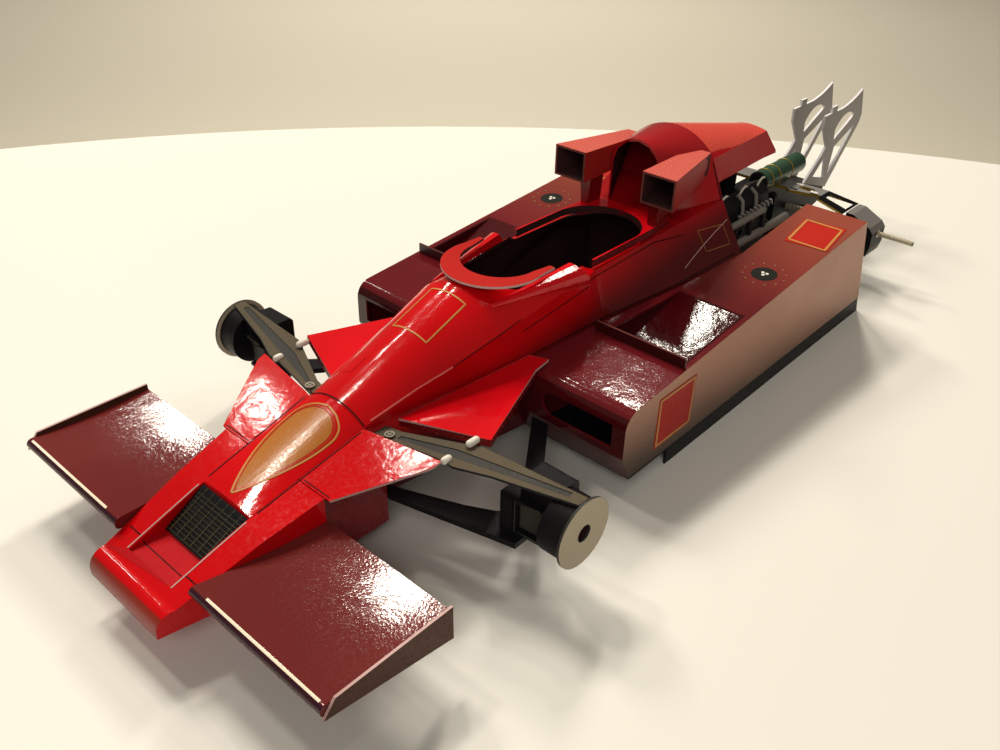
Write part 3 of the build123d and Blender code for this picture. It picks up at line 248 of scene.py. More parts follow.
def new_group(name: str, kind: str, takes: dict[Socket, Sequence[str]], gives: dict[Socket, Sequence[str]],
              ) -> tuple[NodeDesk, dict[str, Wire], dict[str, Wire]]:
    """Makes a node group with named sockets.

    Args:
        name: its name.
        kind: Blender's name of the tree type.
        takes: names of its inputs, by their kind.
        gives: names of its outputs, by their kind.

    Returns:
        A desk for its nodes, the sockets that bring its inputs and the sockets that take its outputs.
    """
    desk = NodeDesk(bpy.data.node_groups.new(name, kind))
    for way, sockets in (("INPUT", takes), ("OUTPUT", gives)):
        for socket, labels in sockets.items():
            for label in labels:
                desk.tree.interface.new_socket(label, in_out=way, socket_type=socket.value)
    begin, end = desk.add("NodeGroupInput"), desk.add("NodeGroupOutput")
    return desk, dict(begin.outputs.items()), dict(end.inputs.items())


def card_group() -> Tree:
    """Makes the printed card: ink with cloudy depth, fine fibre, soft crinkles and worn specks of bare paper.

    Returns:
        The shader node group.
    """
    desk, takes, gives = new_group(
        "printed card", "ShaderNodeTree",
        {Socket.COLOUR: ("Ink", "Deep Ink", "Paper"),
         Socket.NUMBER: ("Fibre", "Crinkle", "Scuffs", "Smooth", "Rough", "Waves", "Grain")},
        {Socket.COLOUR: ("Color",), Socket.NUMBER: ("Roughness", "Height")})
    place = desk.add("ShaderNodeTexCoord").outputs["Object"]
    fibre = desk.noise(place, takes["Fibre"], 1.5)
    crinkle = desk.noise(place, takes["Crinkle"], 3, 0.45)
    depth = desk.ramp(desk.noise(place, CLOUDS, 2), 0.34, 0.68)
    shade = desk.math("MAXIMUM", depth, desk.ramp(fibre, 0.3, 0.7, 0.0, 0.35))
    tone = desk.mix(shade, takes["Ink"], takes["Deep Ink"])
    bare = desk.ramp(desk.noise(place, SPECKS, 6, 0.75), 0.66, 0.74)
    worn = desk.math("MULTIPLY", bare, takes["Scuffs"])
    desk.feed(desk.mix(worn, tone, takes["Paper"]), gives["Color"])
    spread = desk.math("MAXIMUM", desk.ramp(fibre, 0.4, 0.7), worn)
    gloss = desk.math("MULTIPLY", desk.math("SUBTRACT", takes["Rough"], takes["Smooth"]), spread)
    desk.feed(desk.math("ADD", takes["Smooth"], gloss), gives["Roughness"])
    folds = desk.math("MULTIPLY", crinkle, takes["Waves"])
    desk.feed(desk.math("ADD", folds, desk.math("MULTIPLY", fibre, takes["Grain"])), gives["Height"])
    return desk.tree


def painted_light_group() -> Tree:
    """Makes painted light and shade, which turns one colour into another along an axis, with a soft uneven
    border.

    Returns:
        The shader node group.
    """
    desk, takes, gives = new_group(
        "axis wash", "ShaderNodeTree",
        {Socket.COLOUR: ("Color", "Low Color"), Socket.NUMBER: ("Low", "High"), Socket.PLACE: ("Axis",)},
        {Socket.COLOUR: ("Color",)})
    place = desk.add("ShaderNodeTexCoord").outputs["Object"]
    height = desk.add("ShaderNodeVectorMath", operation="DOT_PRODUCT")
    desk.feed(place, height.inputs[0])
    desk.feed(takes["Axis"], height.inputs[1])
    sway = desk.ramp(desk.noise(place, SWAYS, 2), 0, 1, -SWAY_REACH, SWAY_REACH)
    level = desk.math("ADD", height.outputs["Value"], sway)
    share = desk.add("ShaderNodeMapRange", interpolation_type="SMOOTHSTEP")
    desk.feed_all(share, {"Value": level, "From Min": takes["Low"], "From Max": takes["High"]})
    desk.feed(desk.mix(share.outputs["Result"], takes["Low Color"], takes["Color"]), gives["Color"])
    return desk.tree


def row_tree() -> Tree:
    """Makes the Geometry Nodes tree that repeats a bar along a straight line.

    Returns:
        The tree.
    """
    desk, takes, gives = new_group(
        "bar row", "GeometryNodeTree",
        {Socket.SHAPE: ("Geometry",), Socket.COUNT: ("Count",), Socket.PAINT: ("Finish",),
         Socket.PLACE: ("Start", "Step", "Bar", "Turn")},
        {Socket.SHAPE: ("Geometry",)})
    line, bar = desk.add("GeometryNodeMeshLine"), desk.add("GeometryNodeMeshCube")
    spread, whole = desk.add("GeometryNodeInstanceOnPoints"), desk.add("GeometryNodeRealizeInstances")
    paint = desk.add("GeometryNodeSetMaterial")
    desk.feed_all(line, {"Count": takes["Count"], "Start Location": takes["Start"], "Offset": takes["Step"]})
    desk.feed_all(bar, {"Size": takes["Bar"]})
    desk.feed_all(spread, {"Instance": bar.outputs["Mesh"], "Rotation": takes["Turn"]})
    desk.feed_all(paint, {"Material": takes["Finish"]})
    desk.feed(desk.chain(line, spread, whole, paint), gives["Geometry"])
    return desk.tree


def ring_tree() -> Tree:
    """Makes the Geometry Nodes tree that repeats a small round dot around a circle.

    Returns:
        The tree.
    """
    desk, takes, gives = new_group(
        "dot ring", "GeometryNodeTree",
        {Socket.SHAPE: ("Geometry",), Socket.COUNT: ("Count",), Socket.NUMBER: ("Radius", "Dot", "Height"),
         Socket.PLACE: ("Middle", "Turn"), Socket.PAINT: ("Finish",)},
        {Socket.SHAPE: ("Geometry",)})
    ring, dot = desk.add("GeometryNodeMeshCircle"), desk.add("GeometryNodeMeshCylinder")
    spread, whole = desk.add("GeometryNodeInstanceOnPoints"), desk.add("GeometryNodeRealizeInstances")
    move, paint = desk.add("GeometryNodeTransform"), desk.add("GeometryNodeSetMaterial")
    desk.feed_all(ring, {"Vertices": takes["Count"], "Radius": takes["Radius"]})
    desk.feed_all(dot, {"Vertices": DOT_CORNERS, "Radius": takes["Dot"], "Depth": takes["Height"]})
    desk.feed_all(spread, {"Instance": dot.outputs["Mesh"]})
    desk.feed_all(move, {"Translation": takes["Middle"], "Rotation": takes["Turn"]})
    desk.feed_all(paint, {"Material": takes["Finish"]})
    desk.feed(desk.chain(ring, spread, whole, move, paint), gives["Geometry"])
    return desk.tree


# ---- finishes ----------------------------------------------------------------------------------
@dataclass(frozen=True)
class Wash:
    """Painted light and shade: colour that a finish fades to along an axis.

    Attributes:
        low_colour: colour at the low end.
        low: place along the axis where it is full, in mm.
        high: place where it is gone, in mm.
        axis: direction in the shared frame.
    """

    low_colour: int
    low: float
    high: float
    axis: Spot = (0, 0, 1)


@dataclass(frozen=True)
class Card:
    """Look of one printed, rolled or wired surface.

    Attributes:
        ink: main colour.
        deep: colour of the cloudy depth.
        paper: colour under the worn specks.
        smooth: roughness where the varnish is flat.
        rough: roughness in the crinkles and specks.
        fibre: fibres for each metre.
        crinkle: crinkles for each metre.
        scuffs: share of paper in a worn speck.
        waves: depth of the crinkles, in mm.
        grain: depth of the fibres, in mm.
        gloss: strength of the mirror light of its varnish.
        metal: how metallic the surface is.
        wash: what it fades to along an axis, as painted shade near its foot and as painted reflection towards
            the pod roofs' rear.
    """

    ink: int
    deep: int
    paper: int = 0xD9C9B8
    smooth: float = 0.22
    rough: float = 0.42
    fibre: float = 3000.0
    crinkle: float = 150.0
    scuffs: float = 0.18
    waves: float = 0.06
    grain: float = 0.006
    gloss: float = 0.5
    metal: float = 0.0
    wash: Optional[Wash] = None


class Finish(Enum):
    """The finishes of the car, each with its look."""

    NOSE_RED = Card(0xCC060F, 0xB4040B, smooth=0.07, rough=0.13, scuffs=0.06, gloss=0.4, waves=0.1,
                    grain=0.008, fibre=1900.0)
    FRONT_RED = Card(0x9A2A1C, 0x7E2015, smooth=0.3, rough=0.45, scuffs=0.08)
    DULL_RED = Card(0xB4101A, 0xA00C14, smooth=0.4, rough=0.55, scuffs=0.06, gloss=0.08)
    # painted shade: the tub's side darkens towards its foot and its rear
    TUB_RED = Card(0xC80710, 0xB2050C, smooth=0.09, rough=0.16, scuffs=0.06, gloss=0.4, waves=0.09,
                   wash=Wash(0x4E0A0E, 19.0, 28.0, (0.25, 0, 1)))
    SURROUND_RED = Card(0x6E161A, 0x571014, smooth=0.2, rough=0.3, scuffs=0.08)
    COVER_RED = Card(0xA00E16, 0x860A10, smooth=0.16, rough=0.26, scuffs=0.08)
    REAR_RED = Card(0xDC4A3A, 0xC83E32, smooth=0.2, rough=0.3, scuffs=0.04, gloss=0.3)
    SCOOP_RED = Card(0x9A221E, 0x8A1C18, smooth=0.35, rough=0.45, scuffs=0.0, gloss=0.12, waves=0.03,
                     grain=0.002)
    SCOOP_TOP = Card(0xC4584C, 0xB84E44, smooth=0.25, rough=0.32, scuffs=0.0, gloss=0.3, waves=0.03,
                     grain=0.002)
    FAIRING_RED = Card(0xD00C18, 0xBA0812, smooth=0.07, rough=0.13, scuffs=0.06, gloss=0.4, waves=0.12,
                       grain=0.008, fibre=1900.0)
    LIP_RED = Card(0xB02420, 0x9E1C1A, smooth=0.2, rough=0.3, gloss=0.1)
    SHADE_RED = Card(0x7A0C10, 0x5E080B, smooth=0.2, rough=0.32, scuffs=0.06)
    BLOCK_RED = Card(0xB0241A, 0x9C1E16, smooth=0.3, rough=0.45, scuffs=0.08, gloss=0.12)
    # painted highlight along the tub's shoulder fold
    FOLD_HIGHLIGHT = Card(0xE08A80, 0xC8605A, smooth=0.2, rough=0.35, scuffs=0.2)
    TRAY_MAROON = Card(0x4A0A10, 0x36060A, smooth=0.08, rough=0.14, waves=0.12, grain=0.012, crinkle=260.0,
                       scuffs=0.06)
    FLAP_MAROON = Card(0x3A0A0C, 0x2A0708, smooth=0.3, rough=0.45, scuffs=0.06)
    # painted reflection: the pod roof turns pinkish brown towards the rear
    POD_MAROON = Card(0x6A181E, 0x5A1218, smooth=0.07, rough=0.13, waves=0.08, grain=0.010, crinkle=200.0,
                      scuffs=0.06, wash=Wash(0x8A4232, -42.0, 4.0, (1, 0, 0)))
    WING_MAROON = Card(0x6C2826, 0x601F1E, smooth=0.06, rough=0.12, waves=0.03, grain=0.009, crinkle=260.0,
                       scuffs=0.1)
    LEAD_EDGE = Card(0x3E1424, 0x300E1C, smooth=0.25, rough=0.4, scuffs=0.1)
    # painted highlight for the pale stripe along the wings' front edges
    GLINT = Card(0xF4EAD8, 0xE2D2B8, smooth=0.15, rough=0.3, scuffs=0.1)
    # painted shade: the side panel darkens towards its foot
    POD_SIDE = Card(0xC09078, 0xAE806A, smooth=0.4, rough=0.6, gloss=0.25,
                    wash=Wash(0x40342C, -1.0, 15.5, (-0.12, 0, 1)))
    MAUVE = Card(0x4E2E22, 0x42261C, smooth=0.4, rough=0.6, gloss=0.2)
    BLACK = Card(0x1B191C, 0x121012, paper=0x4A4648, smooth=0.4, rough=0.55, scuffs=0.04, gloss=0.12,
                 waves=0.03)
    # painted shade for the insides of the cockpit, hoop cover, scoops, pod tunnels and hub holes
    HOLLOW_SHADE = Card(0x3C2424, 0x2C1818, paper=0x2A2426, smooth=0.6, rough=0.8, scuffs=0.03, gloss=0.15)
    GRILLE = Card(0x121116, 0x09080C, smooth=0.4, rough=0.55, gloss=0.3)
    FILLER = Card(0x1E1F1A, 0x161713, smooth=0.4, rough=0.6, gloss=0.12)
    WIRE_YELLOW = Card(0x5F5A40, 0x47412E, smooth=0.45, rough=0.6, gloss=0.3)
    OLIVE = Card(0x544936, 0x463D2F, smooth=0.4, rough=0.6, gloss=0.25)
    ARM_EDGE = Card(0x26262A, 0x1A1A1D, smooth=0.5, rough=0.7, gloss=0.25)
    DARK_STRIPE = Card(0x3A3936, 0x2A2927, smooth=0.4, rough=0.6, gloss=0.3)
    PANEL_GREY = Card(0x3E3D36, 0x32312C, smooth=0.5, rough=0.65, gloss=0.12)
    SLATE = Card(0x77736F, 0x625E5C, smooth=0.5, rough=0.65, gloss=0.3)
    DISC = Card(0xB2A58E, 0xA2957F, smooth=0.5, rough=0.65, gloss=0.2)
    PRINT_GREY = Card(0xC9C2B4, 0xACA598, smooth=0.5, rough=0.65, gloss=0.3)
    CUT_EDGE = Card(0xC9A9A4, 0xA98480, paper=0xEFE6DC, smooth=0.7, rough=0.9, scuffs=0.4, gloss=0.15)
    BROWN_EDGE = Card(0x6B3A34, 0x4B2522, paper=0xB59A90, smooth=0.7, rough=0.9, scuffs=0.3, gloss=0.15)
    WHITE_EDGE = Card(0xE8E3E4, 0xC9C4C8, paper=0xFFFFFF, smooth=0.6, rough=0.8, scuffs=0.1, gloss=0.2)
    WHITE = Card(0xE8E2D6, 0xD2CABC, smooth=0.2, rough=0.35)
    LAVENDER = Card(0xA09A94, 0x8A847E, paper=0xF2EFEF, smooth=0.5, rough=0.65, gloss=0.25)
    GOLD_PRINT = Card(0xB06E30, 0x9C5E28, paper=0xE8D9B8, smooth=0.18, rough=0.3, scuffs=0.25)
    GOLD_LINE = Card(0xC08A44, 0xA97638, smooth=0.35, rough=0.5, scuffs=0.15)
    DULL_GOLD = Card(0x8E5E32, 0x784C28, smooth=0.4, rough=0.55, scuffs=0.15)
    GOLD_FOIL = Card(0xC9A23C, 0xA07F2C, smooth=0.25, rough=0.45, metal=0.6)
    GREEN = Card(0x2E4A38, 0x243C2C, smooth=0.2, rough=0.3, scuffs=0.03, gloss=0.3, grain=0.003)
    PIPE_GREY = Card(0x7E7A72, 0x5E5A54, paper=0xD8D4CC, smooth=0.4, rough=0.6, scuffs=0.3, gloss=0.3)
    CREAM = Card(0xD6D0C2, 0xB9B2A4, smooth=0.4, rough=0.6, gloss=0.3)
    SILVER = Card(0xA7A4A0, 0x7B7875, smooth=0.3, rough=0.5, metal=0.5)
    STEEL = Card(0xC9BFA4, 0xA59C84, smooth=0.25, rough=0.4, metal=0.4, crinkle=600.0, waves=0.02)
    BODY_SEAM = Card(0x2A0508, 0x180204, smooth=0.6, rough=0.8, gloss=0.2)
    EMBER = Card(0xC0391C, 0xA02A14, smooth=0.2, rough=0.3)


class FinishShelf:
    """Builds each finish once, when it is first asked for."""

    def __init__(self) -> None:
        """Makes the shared shader groups."""
        self.card = card_group()
        self.wash = painted_light_group()
        self.made: dict[Finish, bpy.types.Material] = {}

    def get(self, finish: Finish) -> bpy.types.Material:
        """Gives the material of a finish.

        Args:
            finish: the finish.

        Returns:
            Its material.
        """
        if finish not in self.made:
            self.made[finish] = self.build(finish.name.lower(), finish.value)
        return self.made[finish]

    def build(self, name: str, look: Card) -> bpy.types.Material:
        """Builds a material from the shared groups.

        Args:
            name: the material's name.
            look: what it looks like.

        Returns:
            The new material.
        """
        material = bpy.data.materials.new(name)
        material.use_nodes = True
        material.node_tree.nodes.clear()
        desk = NodeDesk(material.node_tree)
        card = desk.add("ShaderNodeGroup", node_tree=self.card)
        desk.feed_all(card, {
            "Ink": ink(look.ink), "Deep Ink": ink(look.deep), "Paper": ink(look.paper), "Fibre": look.fibre,
            "Crinkle": look.crinkle, "Scuffs": look.scuffs, "Smooth": look.smooth, "Rough": look.rough,
            "Waves": look.waves, "Grain": look.grain})
        colour = card.outputs["Color"]
        if look.wash:
            wash = desk.add("ShaderNodeGroup", node_tree=self.wash)
            desk.feed_all(wash, {
                "Color": colour, "Low Color": ink(look.wash.low_colour), "Low": look.wash.low * MM,
                "High": look.wash.high * MM, "Axis": look.wash.axis})
            colour = wash.outputs["Color"]
        bump = desk.add("ShaderNodeBump")
        desk.feed_all(bump, {"Strength": 1.0, "Distance": MM, "Height": card.outputs["Height"]})
        shader = desk.add("ShaderNodeBsdfPrincipled")
        desk.feed_all(shader, {
            "Specular IOR Level": look.gloss, "Metallic": look.metal, "Base Color": colour,
            "Roughness": card.outputs["Roughness"], "Normal": bump.outputs["Normal"]})
        desk.feed_all(desk.add("ShaderNodeOutputMaterial"), {"Surface": shader.outputs["BSDF"]})
        return material


# ---- meshes ------------------------------------------------------------------------------------
def walk(corners: Sequence[Vector], step: float) -> list[Vector]:
    """Divides straight runs between corners into even steps.

    Args:
        corners: the corners.
        step: length of a step, in the corners' unit.

    Returns:
        The corners and the points between them.
    """
    made = [corners[0]]
    for first, last in zip(corners, corners[1:]):
        count = max(1, round((last - first).length / step))
        made += [first.lerp(last, number / count) for number in range(1, count + 1)]
    return made


def prism_sides(corners: int) -> Faces:
    """Faces between a lower outline and the upper one, whose points come after it."""
    return [(n, (n + 1) % corners, corners + (n + 1) % corners, corners + n) for n in range(corners)]


def slab_faces(rows: int, columns: int) -> Faces:
    """Faces of a closed slab whose lower grid of points comes before its upper one.

    Args:
        rows: rows of points in a grid.
        columns: points in a row.

    Returns:
        The faces.
    """
    size = rows * columns
    faces: Faces = []
    for row in range(rows - 1):
        for a in range(row * columns, row * columns + columns - 1):
            b = a + columns
            faces += [(a, b, b + 1, a + 1), (size + a, size + a + 1, size + b + 1, size + b)]
    left = [row * columns for row in range(rows)]
    last = list(range(size - columns + 1, size))
    right = [row * columns + columns - 1 for row in range(rows - 2, -1, -1)]
    rim = left + last + right + list(range(columns - 2, 0, -1))
    return faces + [(a, b, size + b, size + a) for a, b in zip(rim, rim[1:] + rim[:1])]


def rod_mesh(path: Sequence[Vector], radii: Sequence[float], sides: int, shut: bool,
             ) -> tuple[list[Vector], Faces]:
    """Points and faces of a round rod along a path.

    Args:
        path: its middle line.
        radii: its radius at each point of the path.
        sides: how many sides it has.
        shut: whether its end joins its start.

    Returns:
        The points and the faces.
    """
    points: list[Vector] = []
    count = len(path)
    side = Vector((0, 0, 1))
    for number, point in enumerate(path):
        if shut:
            way = path[(number + 1) % count] - path[number - 1]
        else:
            way = path[min(number + 1, count - 1)] - path[max(number - 1, 0)]
        way.normalize()
        if abs(way.dot(side)) > 0.98:
            side = Vector((0, 1, 0)) if abs(way.y) < 0.9 else Vector((1, 0, 0))
        first = way.cross(side).normalized()
        second = first.cross(way)
        points += [point + (first * math.cos(turn) + second * math.sin(turn)) * radii[number]
                   for turn in turns(sides)]
    faces: Faces = []
    for ring in range(count if shut else count - 1):
        a, b = ring * sides, ((ring + 1) % count) * sides
        faces += [(a + s, a + (s + 1) % sides, b + (s + 1) % sides, b + s) for s in range(sides)]
    if not shut:
        faces += [tuple(range(sides))[::-1], tuple((count - 1) * sides + s for s in range(sides))]
    return points, faces


class Workbench:
    """Makes pieces in the car's frame, dresses them and counts them."""

    def __init__(self, nodes: dict[str, bpy.types.Object]) -> None:
        """Takes the solids of the car and makes what all pieces share.

        Args:
            nodes: the solids by name.
        """
        self.nodes = nodes
        self.shelf = FinishShelf()
        self.rows, self.rings = row_tree(), ring_tree()
        self.surfaces: dict[tuple[str, ...], BVHTree] = {}
        self.count = 0

    def dress(self, finish: Finish, *names: str) -> None:
        """Gives solids their finish.

        Args:
            finish: the finish.
            names: the solids.
        """
        for name in names:
            solid = self.nodes[name]
            if not solid.material_slots:
                solid.data.materials.append(None)
            for slot in solid.material_slots:
                slot.material = self.shelf.get(finish)

    def keep(self, name: str, mesh: bpy.types.Mesh, finish: Finish, smooth: bool = False,
             ) -> bpy.types.Object:
        """Makes a mesh a piece of the car.

        Args:
            name: the piece's name.
            mesh: its mesh, with its place in it.
            finish: its look.
            smooth: whether its faces are shaded smooth.

        Returns:
            The piece.
        """
        mesh.materials.clear()
        mesh.materials.append(self.shelf.get(finish))
        mesh.shade_smooth() if smooth else mesh.shade_flat()
        piece = bpy.data.objects.new(name, mesh)
        bpy.context.scene.collection.objects.link(piece)
        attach(piece, "root")
        self.count += 1
        LOG.info("%s: %d faces", name, len(mesh.polygons))
        return piece

    def form(self, name: str, points: Sequence[Vector], faces: Faces, finish: Finish,
             smooth: bool = False) -> bpy.types.Object:
        """Makes a piece from points and faces, with its doubles merged and its faces turned outwards.

        Args:
            name: the piece's name.
            points: its points, in metres.
            faces: its faces.
            finish: its look.
            smooth: whether it is shaded smooth.

        Returns:
            The piece.
        """
        mesh = bpy.data.meshes.new(name)
        mesh.from_pydata(points, [], faces)
        work = bmesh.new()
        work.from_mesh(mesh)
        bmesh.ops.remove_doubles(work, verts=work.verts, dist=MERGE)
        bmesh.ops.recalc_face_normals(work, faces=work.faces)
        work.to_mesh(mesh)
        work.free()
        return self.keep(name, mesh, finish, smooth)

    def grow(self, name: str, tree: Tree, finish: Finish, values: dict[str, object]) -> None:
        """Runs a Geometry Nodes tree and keeps its result as a plain mesh.

        Args:
            name: the piece's name.
            tree: the tree to run.
            finish: its look.
            values: the tree's inputs by name.
        """
        seed = bpy.data.objects.new(name + "_seed", bpy.data.meshes.new(name + "_seed"))
        bpy.context.scene.collection.objects.link(seed)
        repeat = seed.modifiers.new("repeat", "NODES")
        repeat.node_group = tree
        values = {**values, "Finish": self.shelf.get(finish)}
        for item in tree.interface.items_tree:
            if item.in_out == "INPUT" and item.name in values:
                repeat[item.identifier] = values[item.name]
        shown = seed.evaluated_get(bpy.context.evaluated_depsgraph_get())
        mesh = bpy.data.meshes.new_from_object(shown)
        mesh.name = name
        bpy.data.objects.remove(seed)
        self.keep(name, mesh, finish)

    def surface(self, names: Sequence[str]) -> BVHTree:
        """Makes a search tree over solids, once for each choice of solids.

        Args:
            names: the solids.

        Returns:
            The tree.
        """
        key = tuple(names)
        if key not in self.surfaces:
            points: list[Vector] = []
            faces: list[list[int]] = []
            for name in names:
                mesh = self.nodes[name].data
                first = len(points)
                points += [vertex.co.copy() for vertex in mesh.vertices]
                faces += [[first + i for i in polygon.vertices] for polygon in mesh.polygons]
            self.surfaces[key] = BVHTree.FromPolygons(points, faces)
        return self.surfaces[key]

    def drop(self, names: Sequence[str], point: Vector, toward: Vector, reach: float = 30.0,
             ) -> tuple[Vector, Vector]:
        """Finds where a ray towards a solid first meets it.

        Args:
            names: solids that the ray may meet.
            point: a point near their surface.
            toward: direction in which the ray runs.
            reach: how far outside the point the ray starts, in mm.

        Returns:
            The place met and the surface's normal, or the point itself where nothing is met.
        """
        place, normal, _, _ = self.surface(names).ray_cast(point - toward * reach * MM, toward)
        if place is None:
            return point, -toward
        return place, (normal if normal.dot(toward) < 0 else -normal)

    def hollow_shade(self, name: str, node: str, wanted: FaceTest, finish: Finish) -> None:
        """Covers chosen faces of a solid with a thin layer of another finish, such as print, a cut edge or
        painted shade.

        Args:
            name: the piece's name.
            node: the solid that it lies on.
            wanted: says from a face's middle and normal whether it is covered.
            finish: the layer's look.
        """
        work = bmesh.new()
        work.from_mesh(self.nodes[node].data)
        bmesh.ops.remove_doubles(work, verts=work.verts, dist=MERGE)
        extra = [f for f in work.faces if not wanted(spot(f.calc_center_median()), f.normal)]
        bmesh.ops.delete(work, geom=extra, context="FACES")
        work.normal_update()
        for vert in work.verts:
            vert.co += vert.normal * SKIN_LIFT * MM
        mesh = bpy.data.meshes.new(name)
        work.to_mesh(mesh)
        work.free()
        self.keep(name, mesh, finish)

    def ribbon(self, name: str, onto: Sequence[str], path: Sequence[Spot],
               half_width: Callable[[float], float], finish: Finish, toward: Spot = DOWN,
               lift: float = SKIN_LIFT, thick: float = 0.03, step: float = 0.5, columns: int = 2) -> None:
        """Lays a strip of print, card or painted highlight along a path over solids.

        Args:
            name: the piece's name.
            onto: solids that carry it.
            path: corners of its middle line.
            half_width: half its width at a share of the path's length, in mm.
            finish: its look.
            toward: direction towards the surface.
            lift: gap under it, in mm.
            thick: its thickness, in mm.
            step: length of its faces, in mm.
            columns: faces across it.
        """
        down = Vector(toward).normalized()
        middle = walk([at(*corner) for corner in path], step * MM)
        ends = len(middle) - 1
        low, high = [], []
        for number, point in enumerate(middle):
            way = middle[min(number + 1, ends)] - middle[max(number - 1, 0)]
            across = way.cross(down).normalized()
            half = half_width(number / ends) * MM
            for column in range(columns + 1):
                place, normal = self.drop(onto, point + across * half * (2 * column / columns - 1), down)
                low.append(place + normal * lift * MM)
                high.append(place + normal * (lift + thick) * MM)
        self.form(name, low + high, slab_faces(len(middle), columns + 1), finish)

    def rod(self, name: str, path: Sequence[Vector], radius: float, finish: Finish, sides: int = 6,
            shut: bool = False) -> None:
        """Rolls a round rod along a path.

        Args:
            name: the piece's name.
            path: its middle line, in metres.
            radius: its radius, in mm.
            finish: its look.
            sides: how many sides it has.
            shut: whether its end joins its start.
        """
        points, faces = rod_mesh(path, [radius * MM] * len(path), sides, shut)
        self.form(name, points, faces, finish, smooth=True)


@dataclass(frozen=True)
class Stripe:
    """A narrow strip of even width laid over solids. In a name, {} stands for the car's side.

    Attributes:
        name: the piece's name.
        onto: solids that carry it.
        path: corners of its middle line.
        half: half its width, in mm.
        finish: its look.
        toward: direction towards the surface.
        slot: the record's material slot; not used.
        lift: gap under it, in mm.
    """

    name: str
    onto: tuple[str, ...]
    path: tuple[Spot, ...]
    half: float
    finish: Finish
    toward: Spot = DOWN
    slot: str = "red_card"
    lift: float = SKIN_LIFT

    def on(self, word: str, side: int) -> "Stripe":
        """Turns the left-hand strip into that of a side.

        Args:
            word: the side's name.
            side: 1 on the left and -1 on the right.

        Returns:
            The side's strip.
        """
        return replace(self, name=self.name.format(word), onto=tuple(node.format(word) for node in self.onto),
                       path=tuple((ahead, side * left, up) for ahead, left, up in self.path),
                       toward=(self.toward[0], side * self.toward[1], self.toward[2]))

    def lay(self, bench: Workbench) -> None:
        """Lays the strip."""
        bench.ribbon(self.name, self.onto, self.path, lambda share: self.half, self.finish,
                     self.toward, self.lift)


